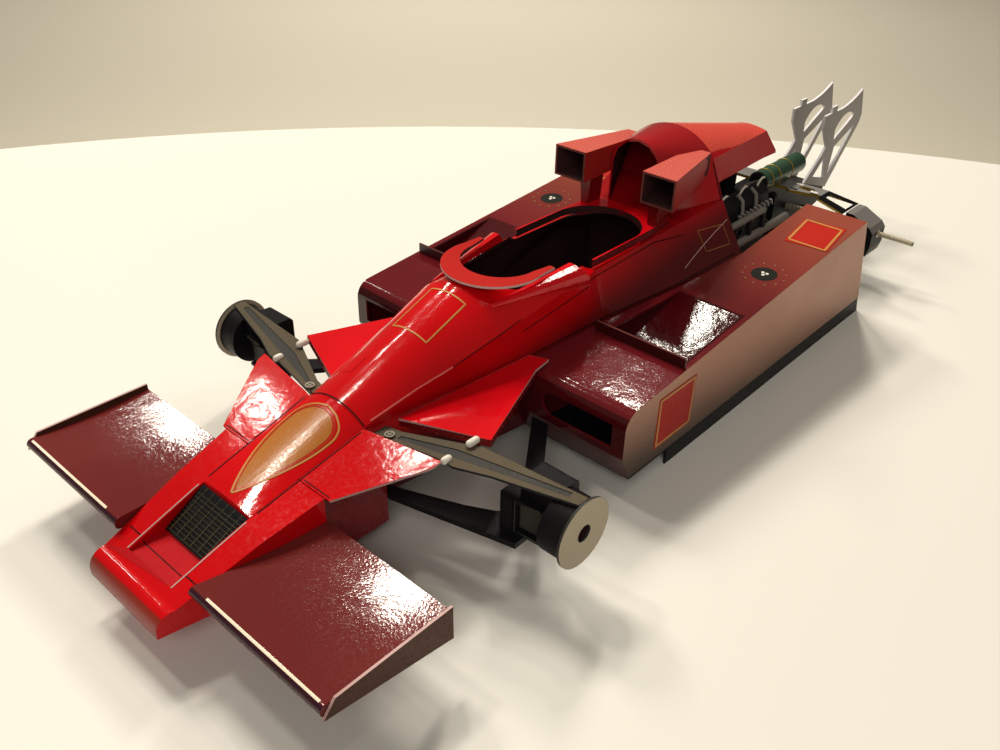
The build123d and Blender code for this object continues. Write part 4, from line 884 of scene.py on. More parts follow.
# ---- sub-assemblies ----------------------------------------------------------------------------
@dataclass
class Nose:
    """Shovel nose: deck, spine, duct grille and the front wings.

    Attributes:
        front: where its front face starts.
        duct: rear, front, half width and top of the sunk duct's floor.
        deck_root: how far from the middle the deck's cut edges start.
        grille_foot: front end of the grille's slope.
        grille_head: rear end of the grille's slope.
        grille_half: half width of the grille.
        wires: number of wires across it.
        wire_width: width of a wire.
        wire_lift: height of the wires over the slope.
        ropes: number of wires along it.
        rope_width: width of such a wire.
        rope_lift: height of these wires over the slope.
        panel_front: front end of the gold panel on the spine.
        panel_rear: rear end of that panel.
        panel_half: half its greatest width.
        panel_round: share of its length where its round rear starts.
        panel_steps: steps of its outlines.
        outlines: name, gap from the panel and finish of each outline.
        outline_half: half the width of an outline.
        deck: solids that carry the lines.
        creases: seams across the nose.
        lines: seams, folds and edges of the left side.
        glint: painted highlight, a pale stripe along a wing's front edge.
    """

    front: float = 38.0
    duct: tuple[float, float, float, float] = (32.0, 39.0, 5.2, 9.4)
    deck_root: float = 7.0
    grille_foot: Spot = (33.2, 0.0, 8.6)
    grille_head: Spot = (27.2, 0.0, 11.6)
    grille_half: float = 4.5
    wires: int = 13
    wire_width: float = 0.06
    wire_lift: float = 0.12
    ropes: int = 6
    rope_width: float = 0.08
    rope_lift: float = 0.16
    panel_front: float = 25.4
    panel_rear: float = 10.8
    panel_half: float = 3.7
    panel_round: float = 0.8
    panel_steps: int = 40
    outlines: tuple[tuple[str, float, Finish], ...] = (
        ("inner", 0.25, Finish.EMBER), ("outer", 0.7, Finish.GOLD_LINE))
    outline_half: float = 0.13
    deck: tuple[str, ...] = ("nose_deck", "nose_shell", "nose_spine")
    creases: tuple[Stripe, ...] = (
        Stripe("nose_crease", deck, ((36.4, -7.6, 9), (36.4, 7.6, 9)), 0.07, Finish.BODY_SEAM),
        Stripe("cone_front_seam", ("tub", "nose_spine"), ((8.7, -5.9, 17), (8.7, 5.9, 17)), 0.09,
               Finish.BODY_SEAM))
    lines: tuple[Stripe, ...] = (
        Stripe("duct_edge_{}", deck, ((38.4, 4.9, 8.4), (27.6, 5.2, 11.8)), 0.1, Finish.CUT_EDGE),
        Stripe("spine_line_{}", deck, ((26, 5.25, 12), (9.6, 5.9, 16.2)), 0.08, Finish.BODY_SEAM),
        Stripe("deck_fold_{}", deck, ((19.2, 6.0, 13.8), (19.2, 11.0, 13.8)), 0.06, Finish.BODY_SEAM))
    # painted highlight along a wing's front edge
    glint: Stripe = Stripe("wing_glint_{}", ("front_wing_{}",), ((37.35, 11.2, 10), (37.35, 31.4, 10)), 0.16,
                           Finish.GLINT, slot="maroon_card")

    def build(self, bench: Workbench) -> None:
        """Dresses the nose and its wings.

        Args:
            bench: the workbench.
        """
        bench.dress(Finish.NOSE_RED, "nose_shell", "nose_deck", "nose_spine")
        bench.dress(Finish.SHADE_RED, "chassis_box")
        bench.dress(Finish.GRILLE, "nose_grille")
        bench.hollow_shade("nose_front", "nose_shell", lambda s, n: n.x > 0.6 and s[0] > self.front,
                     Finish.FRONT_RED)
        bench.hollow_shade("duct_floor", "nose_shell", self.on_duct_floor, Finish.DULL_RED)
        self.build_panel(bench)
        self.build_grille(bench)
        bench.hollow_shade("deck_edges", "nose_deck", lambda s, n: abs(n.z) < 0.35 and abs(s[1]) > self.deck_root,
                     Finish.CUT_EDGE)
        for line in self.creases + tuple(line.on(*side) for side in SIDES for line in self.lines):
            line.lay(bench)
        for word, side in SIDES:
            wing = f"front_wing_{word}"
            bench.dress(Finish.WING_MAROON, wing)
            bench.hollow_shade(f"wing_lead_{word}", wing, lambda s, n: n.x > 0.45 and n.z > 0.1, Finish.LEAD_EDGE)
            # painted highlight along the wing's front edge
            self.glint.on(word, side).lay(bench)
        bench.dress(Finish.MAUVE, "wing_end_plates")
        bench.hollow_shade("end_plate_edges", "wing_end_plates", lambda s, n: abs(n.y) < EDGE, Finish.CUT_EDGE)

    def on_duct_floor(self, place: Spot, normal: Vector) -> bool:
        """Whether a face of the nose is the floor of its sunk duct."""
        rear, front, half, top = self.duct
        return normal.z > 0.8 and rear < place[0] < front and abs(place[1]) < half and place[2] < top

    def panel_width(self, share: float) -> float:
        """Half width of the gold panel, a drop with its point in front and a broad round rear.

        Args:
            share: share of the panel's length, from its front.

        Returns:
            The half width there, in mm.
        """
        swell = math.sin(math.pi / 2 * min(share / self.panel_round, 1.0)) ** 0.8
        past = max(share - self.panel_round, 0) / (1 - self.panel_round)
        return max(0.06, self.panel_half * swell * math.sqrt(max(0.0, 1 - past ** 2)))

    def panel_edge(self, share: float, side: int, gap: float) -> Spot:
        """Point of an outline around the gold panel.

        Args:
            share: share of the outline's length, from its front.
            side: 1 on the left and -1 on the right.
            gap: distance from the panel.

        Returns:
            The point.
        """
        length = self.panel_front - self.panel_rear + 2 * gap
        spread = math.sin(math.pi * min(1, share / self.panel_round) / 2) * min(1, (1 - share) * 12)
        half = max(self.panel_width(share) + gap * spread, 0.02)
        return self.panel_front + gap - length * share, side * half, 16

    def build_panel(self, bench: Workbench) -> None:
        """Lays the gold panel on the spine, with its red and gold outlines.

        Args:
            bench: the workbench.
        """
        spine = ("nose_spine", "nose_deck")
        path = [(self.panel_front, 0, 14), (self.panel_rear, 0, 18)]
        bench.ribbon("nose_panel", spine, path, self.panel_width, Finish.GOLD_PRINT, step=0.3,
                     columns=12, thick=0.015)
        for side_name, side in SIDES:
            for word, gap, finish in self.outlines:
                edge = [self.panel_edge(number / self.panel_steps, side, gap)
                        for number in range(self.panel_steps + 1)]
                bench.ribbon(f"nose_panel_{word}_{side_name}", spine, edge, lambda share: self.outline_half,
                             finish, step=0.3, columns=1)

    def build_grille(self, bench: Workbench) -> None:
        """Stretches the wires over the duct's grille.

        Args:
            bench: the workbench.
        """
        foot, head = Vector(self.grille_foot), Vector(self.grille_head)
        run, middle = head - foot, (foot + head) / 2
        turn = (0, math.atan2(run.z, -run.x), 0)
        wire, rope = self.wire_width * MM, self.rope_width * MM
        bench.grow("grille_wires", bench.rows, Finish.WIRE_YELLOW, {
            "Count": self.wires, "Start": at(*self.grille_foot) + Vector((0, 0, self.wire_lift * MM)),
            "Step": run * MM / (self.wires - 1), "Bar": (wire, 2 * self.grille_half * MM, wire),
            "Turn": turn})
        pitch = 2 * self.grille_half / self.ropes
        start = at(middle.x, (self.ropes - 1) * pitch / 2, middle.z + self.rope_lift)
        bench.grow("grille_ropes", bench.rows, Finish.WIRE_YELLOW, {
            "Count": self.ropes, "Start": start, "Step": (0, -pitch * MM, 0),
            "Bar": (run.length * MM, rope, rope), "Turn": turn})


@dataclass
class Tub:
    """Tub, cockpit rim, windscreen lip and the covers behind the driver.

    Attributes:
        covers: solids that carry the lines behind the cockpit.
        prints: the gold frame and the red patch on the cone.
        lines: seams, the painted highlight on the shoulder fold and frames of the left side.
        cover_foot: level over which the rear cover shows its top.
        cone_rear: rear of the closed cone, where the cockpit starts.
        floor: lowest and highest level of the cockpit's floor.
        cone_roof: level over which the tub's inside has a roof.
        hoop_roof: level over which the hoop cover's inside has a roof.
        scoop_middle: how far left and up the middle of a scoop's mouth is.
        scoop_front: where a scoop's inside ends and where the rim of its mouth starts.
        scoop_roof: level over which a scoop shows its top.
    """

    covers: tuple[str, ...] = ("tub", "hoop_cover", "rear_cover", "cockpit_surround")
    prints: tuple[Stripe, ...] = (
        Stripe("cone_frame", ("tub",), closed((-4.8, -3.4, 22), (-4.8, 3.4, 22), (-12.6, 3.4, 23),
                                              (-12.6, -3.4, 23)), 0.11, Finish.GOLD_LINE),
        Stripe("cone_patch", ("tub",), ((4.4, -3.4, 18), (1.6, -3.4, 18)), 1.3, Finish.NOSE_RED))
    lines: tuple[Stripe, ...] = (
        # painted highlight along the shoulder fold
        Stripe("shoulder_highlight_{}", ("tub",), ((7.6, 6.17, 17.25), (0, 6.77, 18.85), (-6, 7.37, 19.8)), 0.1,
               Finish.FOLD_HIGHLIGHT, SLOPE_DOWN),
        Stripe("shoulder_line_{}", ("tub",), ((-6, 7.4, 19.8), (-19, 9.3, 23.1)), 0.06, Finish.BODY_SEAM,
               SLOPE_DOWN),
        Stripe("pod_seam_{}", ("tub",), ((-19, 12, 15.4), (-67, 17, 19.2)), 0.09, Finish.BODY_SEAM, INWARD),
        Stripe("side_seam_{}", ("tub",), ((-19.5, 12, 20.4), (-34, 13, 22.6)), 0.07, Finish.BODY_SEAM,
               INWARD),
        Stripe("rim_seam_{}", covers, ((-34, 12, 23.4), (-58, 12, 23.9)), 0.06, Finish.BODY_SEAM, INWARD),
        Stripe("cover_seam_{}", ("hoop_cover",), ((-68.2, 16.2, 19.0), (-68.2, 12.2, 25.1),
                                                  (-68.2, 8.9, 33.4)), 0.1, Finish.BODY_SEAM, INWARD),
        Stripe("side_thread_{}", covers, ((-67.9, 20, 24.4), (-55.2, 20, 19.6)), 0.04, Finish.CUT_EDGE,
               INWARD),
        Stripe("gold_square_{}", covers, closed((-61.0, 20, 23.9), (-66.6, 20, 23.9), (-66.6, 20, 20.8),
                                                (-61.0, 20, 20.8)), 0.06, Finish.DULL_GOLD, INWARD))
    cover_foot: float = 25.0
    cone_rear: float = -14.0
    floor: tuple[float, float] = (3.8, 9.0)
    cone_roof: float = 14.0
    hoop_roof: float = 28.0
    scoop_middle: tuple[float, float] = (9.0, 33.05)
    scoop_front: tuple[float, float] = (-51.3, -51.2)
    scoop_roof: float = 34.5

    def build(self, bench: Workbench) -> None:
        """Dresses the tub and its covers.

        Args:
            bench: the workbench.
        """
        bench.dress(Finish.TUB_RED, "tub")
        bench.dress(Finish.SURROUND_RED, "cockpit_surround")
        bench.dress(Finish.LIP_RED, "windscreen_lip")
        bench.dress(Finish.FAIRING_RED, "screen_fairings")
        bench.dress(Finish.COVER_RED, "hoop_cover")
        bench.dress(Finish.DULL_RED, "rear_cover")
        bench.dress(Finish.SHADE_RED, "scoop_brackets")
        for name, node, wanted, finish, slot in (
                ("surround_top", "cockpit_surround", lambda s, n: n.z > 0.5, Finish.FAIRING_RED, "red_card"),
                ("rear_cover_top", "rear_cover", lambda s, n: n.z > 0.7 and s[2] > self.cover_foot,
                 Finish.REAR_RED, "red_card"),
                # painted shade inside the hollow cockpit and on the rim's inner walls
                ("cockpit_shade", "tub", self.inside_tub, Finish.HOLLOW_SHADE, "black_card"),
                ("rim_shade", "cockpit_surround", lambda s, n: n.y * s[1] < -0.05 and abs(n.z) < 0.6,
                 Finish.HOLLOW_SHADE, "black_card"),
                ("lip_edges", "windscreen_lip", self.lip_outside, Finish.CUT_EDGE, "red_card"),
                ("lip_mouth", "windscreen_lip", self.lip_inside, Finish.BROWN_EDGE, "red_card"),
                # painted shade inside the hoop cover
                ("hoop_shade", "hoop_cover", self.inside_hoop, Finish.HOLLOW_SHADE, "black_card")):
            bench.hollow_shade(name, node, wanted, finish)
        for word, side in SIDES:
            scoop = f"air_scoop_{word}"
            bench.dress(Finish.SCOOP_RED, scoop)
            # painted shade inside the scoop's mouth
            bench.hollow_shade(f"scoop_shade_{word}", scoop, lambda s, n: self.inside_scoop(s, n, side),
                         Finish.HOLLOW_SHADE)
            bench.hollow_shade(f"scoop_top_{word}", scoop, lambda s, n: n.z > 0.8 and s[2] > self.scoop_roof,
                         Finish.SCOOP_TOP)
            bench.hollow_shade(f"scoop_mouth_{word}", scoop, lambda s, n: n.x > 0.9 and s[0] > self.scoop_front[1],
                         Finish.BROWN_EDGE)
        for line in self.prints + tuple(line.on(*side) for side in SIDES for line in self.lines):
            line.lay(bench)

    @staticmethod
    def lip_outside(place: Spot, normal: Vector) -> bool:
        """Whether a face is the outer cut edge of the windscreen lip."""
        return abs(normal.z) < EDGE and (normal.x > 0.3 or normal.y * place[1] > 0)

    @staticmethod
    def lip_inside(place: Spot, normal: Vector) -> bool:
        """Whether a face is the inner cut edge of the windscreen lip."""
        return abs(normal.z) < EDGE and not (normal.x > 0.3 or normal.y * place[1] > 0)

    def inside_tub(self, place: Spot, normal: Vector) -> bool:
        """Whether a face of the tub looks into the cockpit.

        Args:
            place: the face's middle.
            normal: the way it faces.

        Returns:
            True where it does.
        """
        ahead, left, up = place
        lowest, highest = self.floor
        wall = normal.y * left < -0.02 or abs(normal.x) > 0.9
        roof = normal.z < -0.3 and up > self.cone_roof
        floor = normal.z > 0.6 and up < highest
        return ahead <= self.cone_rear and up >= lowest and (wall or roof or floor)

    def inside_hoop(self, place: Spot, normal: Vector) -> bool:
        """Whether a face of the hoop cover looks inwards."""
        return normal.y * place[1] < -0.02 or (normal.z < -0.2 and place[2] > self.hoop_roof)

    def inside_scoop(self, place: Spot, normal: Vector, side: int) -> bool:
        """Whether a face of a scoop looks into its mouth.

        Args:
            place: the face's middle.
            normal: the way it faces.
            side: 1 on the left and -1 on the right.

        Returns:
            True where it does.
        """
        left, up = self.scoop_middle
        middle = Vector((0, side * left - place[1], up - place[2]))
        return place[0] < self.scoop_front[0] and (normal.dot(middle) > 0.1 or normal.x > 0.9)


@dataclass
class Pods:
    """Side pods with their tunnels, trays and side panels.

    Attributes:
        filler: middle of the round filler.
        filler_radius: radius of its dark disc.
        filler_corners: corners of that disc.
        ring_radius: radius of its ring of dots.
        dots: number of dots.
        dot: radius and height of a dot.
        highlight_dots: number of white dots of painted highlight in its middle.
        highlight_dot_ring: radius of their ring.
        highlight_dot: radius and height of such a dot.
        pod: the pod of a side.
        prints: red blocks, their gold borders and the line across the roof, of the left side.
        front: where a pod's front face starts, and its top.
        panel_side: how far from the middle the side panel starts.
        tunnel: rear low inner corner and front high outer corner of the front tunnel.
    """

    filler: Spot = (-64.5, 23.3, 18.7)
    filler_radius: float = 2.2
    filler_corners: int = 28
    ring_radius: float = 3.6
    dots: int = 12
    dot: tuple[float, float] = (0.2, 0.06)
    highlight_dots: int = 3
    highlight_dot_ring: float = 0.45
    highlight_dot: tuple[float, float] = (0.3, 0.12)
    pod: tuple[str, ...] = ("side_pod_{}",)
    prints: tuple[Stripe, ...] = (
        Stripe("side_block_{}", pod, ((-26.8, 28.4, 9.5), (-36.6, 28.4, 9.5)), 4.5, Finish.BLOCK_RED, INWARD,
               lift=0.05),
        Stripe("side_border_{}", pod, closed((-27.25, 28.4, 5.45), (-27.25, 28.4, 13.55),
                                             (-36.15, 28.4, 13.55), (-36.15, 28.4, 5.45)), 0.2,
               Finish.GOLD_LINE, INWARD, lift=0.1),
        Stripe("roof_block_{}", pod, ((-77.4, 24.0, 20), (-87.0, 23.0, 21)), 3.9, Finish.BLOCK_RED,
               lift=0.05),
        Stripe("roof_border_{}", pod, closed((-77.9, 20.5, 20.5), (-77.9, 27.4, 20.5), (-86.5, 26.4, 20.5),
                                             (-86.5, 19.6, 20.5)), 0.2, Finish.GOLD_LINE, lift=0.1),
        Stripe("pod_front_line_{}", pod, ((-34.8, 14.0, 16.4), (-34.8, 27.6, 16.4)), 0.1, Finish.BROWN_EDGE))
    front: tuple[float, float] = (-21.5, 14.2)
    panel_side: float = 28.0
    tunnel: tuple[Spot, Spot] = ((-92.0, 13.2, 8.5), (-19.5, 26.4, 12.9))

    def build(self, bench: Workbench) -> None:
        """Dresses both pods and the floor.

        Args:
            bench: the workbench.
        """
        bench.dress(Finish.TRAY_MAROON, "exit_trays")
        bench.dress(Finish.FLAP_MAROON, "pod_flaps")
        bench.dress(Finish.BLACK, "floor_pan", "side_skirts")
        bench.hollow_shade("flap_edges", "pod_flaps", lambda s, n: n.z > 0.8, Finish.BROWN_EDGE)
        for word, side in SIDES:
            pod = f"side_pod_{word}"
            bench.dress(Finish.POD_MAROON, pod)
            # painted shade inside the front tunnel
            bench.hollow_shade(f"pod_tunnel_{word}", pod, lambda s, n: self.inside_tunnel(s, n, side),
                         Finish.HOLLOW_SHADE)
            bench.hollow_shade(f"pod_front_{word}", pod,
                         lambda s, n: n.x > 0.55 and s[0] > self.front[0] and s[2] < self.front[1],
                         Finish.TRAY_MAROON)
            bench.hollow_shade(f"pod_panel_{word}", pod,
                         lambda s, n: n.y * side > 0.9 and s[1] * side > self.panel_side,
                         Finish.POD_SIDE)
            self.build_filler(bench, word, side)
            for stripe in self.prints:
                stripe.on(word, side).lay(bench)

    def build_filler(self, bench: Workbench, word: str, side: int) -> None:
        """Lays the dark disc, its ring of dots and the painted highlight in its middle on a pod's roof.

        Args:
            bench: the workbench.
            word: the side's name.
            side: 1 on the left and -1 on the right.
        """
        ahead, left, up = self.filler
        place, normal = bench.drop([f"side_pod_{word}"], at(ahead, side * left, up), Vector(DOWN))
        tilt = math.atan2(normal.x, normal.z)
        middle = place + normal * PRINT_LIFT * MM
        points = [middle]
        for turn in turns(self.filler_corners):
            flat = Vector((math.cos(turn), math.sin(turn), 0)) * self.filler_radius * MM
            flat.z = -flat.x * math.tan(tilt)
            points.append(place + flat + normal * PRINT_LIFT * MM)
        last = self.filler_corners
        faces = [(0, 1 + n, 1 + (n + 1) % last) for n in range(last)]
        bench.form(f"filler_disc_{word}", points, faces, Finish.FILLER)
        for name, finish, slot, count, ring, (radius, height), start in (
                ("dots", Finish.DULL_GOLD, "maroon_card", self.dots, self.ring_radius, self.dot, middle),
                # painted highlight: white dots in the filler's middle
                ("highlight_dots", Finish.WHITE, "white_card", self.highlight_dots, self.highlight_dot_ring, self.highlight_dot,
                 place + normal * 2 * PRINT_LIFT * MM)):
            bench.grow(f"filler_{name}_{word}", bench.rings, finish, {
                "Count": count, "Radius": ring * MM, "Dot": radius * MM, "Height": height * MM,
                "Middle": start, "Turn": (0, tilt, 0)})

    def inside_tunnel(self, place: Spot, normal: Vector, side: int) -> bool:
        """Whether a face of a pod looks into its front tunnel.

        Args:
            place: the face's middle.
            normal: the way it faces.
            side: 1 on the left and -1 on the right.

        Returns:
            True where it does.
        """
        ahead, left, up = place
        (_, inner, low), (_, outer, high) = self.tunnel
        inward = Vector((0, side * (inner + outer) / 2 - left, (low + high) / 2 - up))
        return within(self.tunnel, (ahead, side * left, up)) and (normal.dot(inward) > 0.1 or normal.x > 0.7)


@dataclass
class FrontSuspension:
    """Arms, uprights and hub discs of the front axle.

    Attributes:
        hub: height of the hub's middle.
        hub_reach: how far from that middle the faces of its hole are.
        hub_root: how far from the car's middle that hole starts.
        caliper: rear low inner corner and front high outer corner of the caliper's sunk panel.
        bosses: rear end, front end, half width and radius of each rolled boss on an arm.
        boss_lift: how far their middle lines lie over the arm.
        boss_tip: radius that their round ends close at.
        pivot: place and radius of the printed ring at an arm's root.
        pivot_corners: corners of that ring.
        ring_radius: radius of its line.
        cross_radius: radius of the lines of its cross.
        cross_lift: how far they lie over the arm.
        arm_slope: how much an arm rises for each mm outwards.
        arm_root: how far from the middle an arm's level top starts.
        stripe_root: how far from the middle its stripe starts.
        stripe_depth: how far the stripe lies under its top.
        edge_reach: how far its cut edges reach over that top.
        fairing_foot: level that parts a fairing's cut edge from its walls.
    """

    hub: float = 11.0
    hub_reach: float = 1.3
    hub_root: float = 30.0
    caliper: tuple[Spot, Spot] = ((0.9, 26.0, 7.4), (3.0, 31.0, 12.6))
    bosses: tuple[tuple[float, float, float, float], ...] = (
        (4.65, 6.4, 17.6, 0.54), (-0.28, 1.98, 17.8, 0.54))
    boss_lift: float = 0.06
    boss_tip: float = 0.04
    pivot: tuple[float, float, float] = (6.9, 8.4, 0.62)
    pivot_corners: int = 24
    ring_radius: float = 0.07
    cross_radius: float = 0.05
    cross_lift: float = 0.02
    arm_slope: float = 0.0158
    arm_root: float = 12.0
    stripe_root: float = 9.2
    stripe_depth: float = 0.06
    edge_reach: float = 0.02
    fairing_foot: float = 15.7

    def build(self, bench: Workbench) -> None:
        """Dresses both sides of the front axle.

        Args:
            bench: the workbench.
        """
        bench.dress(Finish.WHITE, "arm_bosses")
        points: list[Vector] = []
        faces: Faces = []
        for word, side in SIDES:
            arm, fairing = f"upper_arm_{word}", f"arm_fairing_{word}"
            bench.dress(Finish.FAIRING_RED, fairing)
            bench.dress(Finish.OLIVE, arm)
            bench.dress(Finish.BLACK, f"lower_arm_{word}", f"upright_{word}")
            bench.dress(Finish.DISC, f"hub_disc_{word}")
            bench.hollow_shade(f"arm_fairing_edges_{word}", fairing,
                         lambda s, n: abs(n.z) < EDGE and s[2] > self.fairing_foot, Finish.CUT_EDGE)
            bench.hollow_shade(f"arm_fairing_walls_{word}", fairing,
                         lambda s, n: abs(n.z) < EDGE and s[2] < self.fairing_foot, Finish.SHADE_RED)
            self.build_arm(bench, word, side)
            self.build_hub(bench, word, side)
            for rear, front, half, radius in self.bosses:
                place, _ = bench.drop([arm], at((rear + front) / 2, side * half, 16), Vector(DOWN))
                made, shape = self.capsule(place, rear, front, radius)
                faces += [tuple(len(points) + i for i in face) for face in shape]
                points += made
        piece = bench.form("rolled_bosses", points, faces, Finish.WHITE, smooth=True)
        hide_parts("arm_bosses")

    def capsule(self, place: Vector, rear: float, front: float, radius: float) -> tuple[list[Vector], Faces]:
        """Makes a round-ended boss that lies on an arm.

        Args:
            place: its middle on the arm, in metres.
            rear: its rear end, in mm.
            front: its front end, in mm.
            radius: its radius, in mm.

        Returns:
            Its points and faces.
        """
        path, radii = [], []
        for end, steps in ((rear + radius, range(-4, 1)), (front - radius, range(5))):
            for turn in (step * math.pi / 8 for step in steps):
                ahead = (end + radius * math.sin(turn) + HUB_AHEAD) * MM
                path.append(Vector((ahead, place.y, place.z + self.boss_lift * MM)))
                radii.append(max(radius * math.cos(turn), self.boss_tip) * MM)
        return rod_mesh(path, radii, 14, False)

    def arm_level(self, place: Spot) -> float:
        """Height of a place over the root of a sloping arm, in mm."""
        return place[2] - self.arm_slope * abs(place[1])

    def build_arm(self, bench: Workbench, word: str, side: int) -> None:
        """Lays the dark stripe, the printed ring with its cross and the dark cut edges on an upper arm.

        Args:
            bench: the workbench.
            word: the side's name.
            side: 1 on the left and -1 on the right.
        """
        arm = f"upper_arm_{word}"
        spots = [spot(vertex.co) for vertex in bench.nodes[arm].data.vertices]
        top = max(self.arm_level(place) for place in spots if abs(place[1]) > self.arm_root)
        stripe = top - self.stripe_depth
        bench.hollow_shade(f"arm_stripe_{word}", arm,
                     lambda s, n: n.z > 0.9 and self.arm_level(s) < stripe and abs(s[1]) > self.stripe_root,
                     Finish.DARK_STRIPE)
        bench.hollow_shade(f"arm_edges_{word}", arm,
                     lambda s, n: abs(n.z) < EDGE and self.arm_level(s) < top + self.edge_reach,
                     Finish.ARM_EDGE)
        ahead, half, radius = self.pivot
        place, normal = bench.drop([arm], at(ahead, side * half, 16), Vector(DOWN))
        ring = [place + Vector((math.cos(turn), math.sin(turn), 0)) * radius * MM + normal * PRINT_LIFT * MM
                for turn in turns(self.pivot_corners)]
        bench.rod(f"pivot_ring_{word}", ring, self.ring_radius, Finish.PRINT_GREY, shut=True)
        for number, way in enumerate((Vector((1, 0, 0)), Vector((0, 1, 0)))):
            ends = [place + way * reach * radius * MM + normal * self.cross_lift * MM for reach in (-1, 1)]
            bench.rod(f"pivot_cross_{word}_{number}", ends, self.cross_radius, Finish.PRINT_GREY)

    def build_hub(self, bench: Workbench, word: str, side: int) -> None:
        """Shows the hub disc's dark rim, painted shade in its hole and the caliper's sunk panel.

        Args:
            bench: the workbench.
            word: the side's name.
            side: 1 on the left and -1 on the right.
        """
        upright = f"upright_{word}"
        bench.hollow_shade(f"disc_rim_{word}", f"hub_disc_{word}", lambda s, n: abs(n.y) < EDGE, Finish.DARK_STRIPE)
        # painted shade in the hub's hole
        bench.hollow_shade(f"hub_hole_{word}", upright,
                     lambda s, n: (abs(n.y) < EDGE and s[1] * side > self.hub_root
                                   and math.hypot(s[0], s[2] - self.hub) < self.hub_reach),
                     Finish.HOLLOW_SHADE)
        bench.hollow_shade(f"caliper_panel_{word}", upright,
                     lambda s, n: n.x > 0.85 and within(self.caliper, (s[0], s[1] * side, s[2])),
                     Finish.PANEL_GREY)


@dataclass
class Rear:
    """Engine, gearbox, rear suspension and wing posts.

    Attributes:
        links: lowest and highest level of the dark links between the pipes.
        arm_rear: where the gold edge of the upper arms ends.
        axle_end: how far from the middle the axle's ends are.
        bands: places of the canister's gold bands.
        band_radius: radius of a band's wire.
        band_corners: corners of a band.
        can: how far left and up the canister's middle is, and its radius.
        ribs: number of silver ribs beside the upper pipe.
        rib: size of a rib.
        rib_start: place of the first rib.
        rib_pitch: distance between the ribs.
        rib_turn: how far the ribs lean, in radians.
        bolts: number of bolts under them.
        bolt: size of a bolt.
        bolt_start: place of the first bolt.
        bolt_pitch: distance between the bolts.
        ducts: places of the bent ducts.
        duct: bends of a duct, from its place.
        duct_radius: radius of a duct.
        hoops: places of the intake hoops.
        hoop_middle: how far left and up their middles are.
        hoop_radius: radius of a hoop's arc.
        hoop_lean: how far a hoop leans outwards.
        hoop_wire: radius of its wire.
        hose_start: front end of the hose.
        hose_bends: number of points along it.
        hose_pitch: distance between them.
        hose_wave: how far it swings sideways and up.
        hose_radius: its radius.
        marks: place, distance from the middle, half width and finish of each printed mark on the beam.
        mark_half: half the length of a mark.
    """

    links: tuple[float, float] = (15.95, 18.5)
    arm_rear: float = -112.0
    axle_end: float = 31.0
    bands: tuple[float, ...] = (-100.4, -103.4, -108.6)
    band_radius: float = 0.12
    band_corners: int = 32
    can: tuple[float, float, float] = (3.1, 20.07, 2.15)
    ribs: int = 9
    rib: Spot = (0.3, 0.7, 1.2)
    rib_start: Spot = (-79.5, 9.7, 19.9)
    rib_pitch: float = 1.45
    rib_turn: float = 0.5
    bolts: int = 7
    bolt: Spot = (0.5, 0.3, 0.5)
    bolt_start: Spot = (-71.4, 9.1, 17.3)
    bolt_pitch: float = 2.9
    ducts: tuple[float, ...] = (-71.6, -74.6, -81.4, -86.4)
    duct: tuple[Spot, ...] = ((0, 7.4, 23.4), (-0.2, 8.6, 22.4), (0, 9.05, 20.6), (0.3, 8.9, 18.2))
    duct_radius: float = 0.36
    hoops: tuple[float, ...] = (-77.0, -84.0, -90.6)
    hoop_middle: tuple[float, float] = (7.2, 23.2)
    hoop_radius: float = 1.1
    hoop_lean: float = 0.3
    hoop_wire: float = 0.22
    hose_start: Spot = (-78, 7.6, 15.2)
    hose_bends: int = 9
    hose_pitch: float = 2.0
    hose_wave: tuple[float, float] = (0.9, 0.8)
    hose_radius: float = 0.3
    marks: tuple[tuple[float, float, float, Finish], ...] = (
        (-105.2, 7.6, 0.3, Finish.BLACK), (-106.4, 11.6, 0.35, Finish.WHITE),
        (-108.4, 7.4, 0.35, Finish.WHITE), (-105.4, 12.0, 0.25, Finish.BLACK))
    mark_half: float = 0.8

    def build(self, bench: Workbench) -> None:
        """Dresses everything behind the tub.

        Args:
            bench: the workbench.
        """
        bench.dress(Finish.BLACK, "engine_block", "gearbox", "rear_uprights", "rear_upper_arms",
                    "rear_lower_arms")
        bench.dress(Finish.PIPE_GREY, "exhaust_pipes")
        bench.dress(Finish.SILVER, "rear_beam")
        bench.dress(Finish.GREEN, "canister")
        bench.dress(Finish.STEEL, "rear_axle")
        for name, node, wanted, finish, slot in (
                ("pipe_links", "exhaust_pipes", lambda s, n: self.links[0] < s[2] < self.links[1],
                 Finish.BLACK, "black_card"),
                ("beam_front_edge", "rear_beam", lambda s, n: n.x > 0.3, Finish.GOLD_FOIL, "grey_card"),
                ("arm_gold_edge", "rear_upper_arms", lambda s, n: n.x > 0.3 and s[0] > self.arm_rear,
                 Finish.GOLD_FOIL, "black_card"),
                ("upright_tops", "rear_uprights", lambda s, n: n.z > 0.3, Finish.SLATE, "grey_card"),
                ("axle_ends", "rear_axle", lambda s, n: abs(n.y) > 0.9 and abs(s[1]) > self.axle_end,
                 Finish.BLACK, "axle_wire")):
            bench.hollow_shade(name, node, wanted, finish)
        for word, side in SIDES:
            post = f"wing_post_{word}"
            bench.dress(Finish.LAVENDER, post)
            bench.hollow_shade(f"post_edges_{word}", post, lambda s, n: abs(n.y) < EDGE, Finish.WHITE_EDGE)
            self.build_engine(bench, word, side)
        self.build_canister(bench)
        self.build_beam(bench)

    def build_canister(self, bench: Workbench) -> None:
        """Rolls the gold bands around the canister and paints its front black as painted shade.

        Args:
            bench: the workbench.
        """
        left, up, radius = self.can
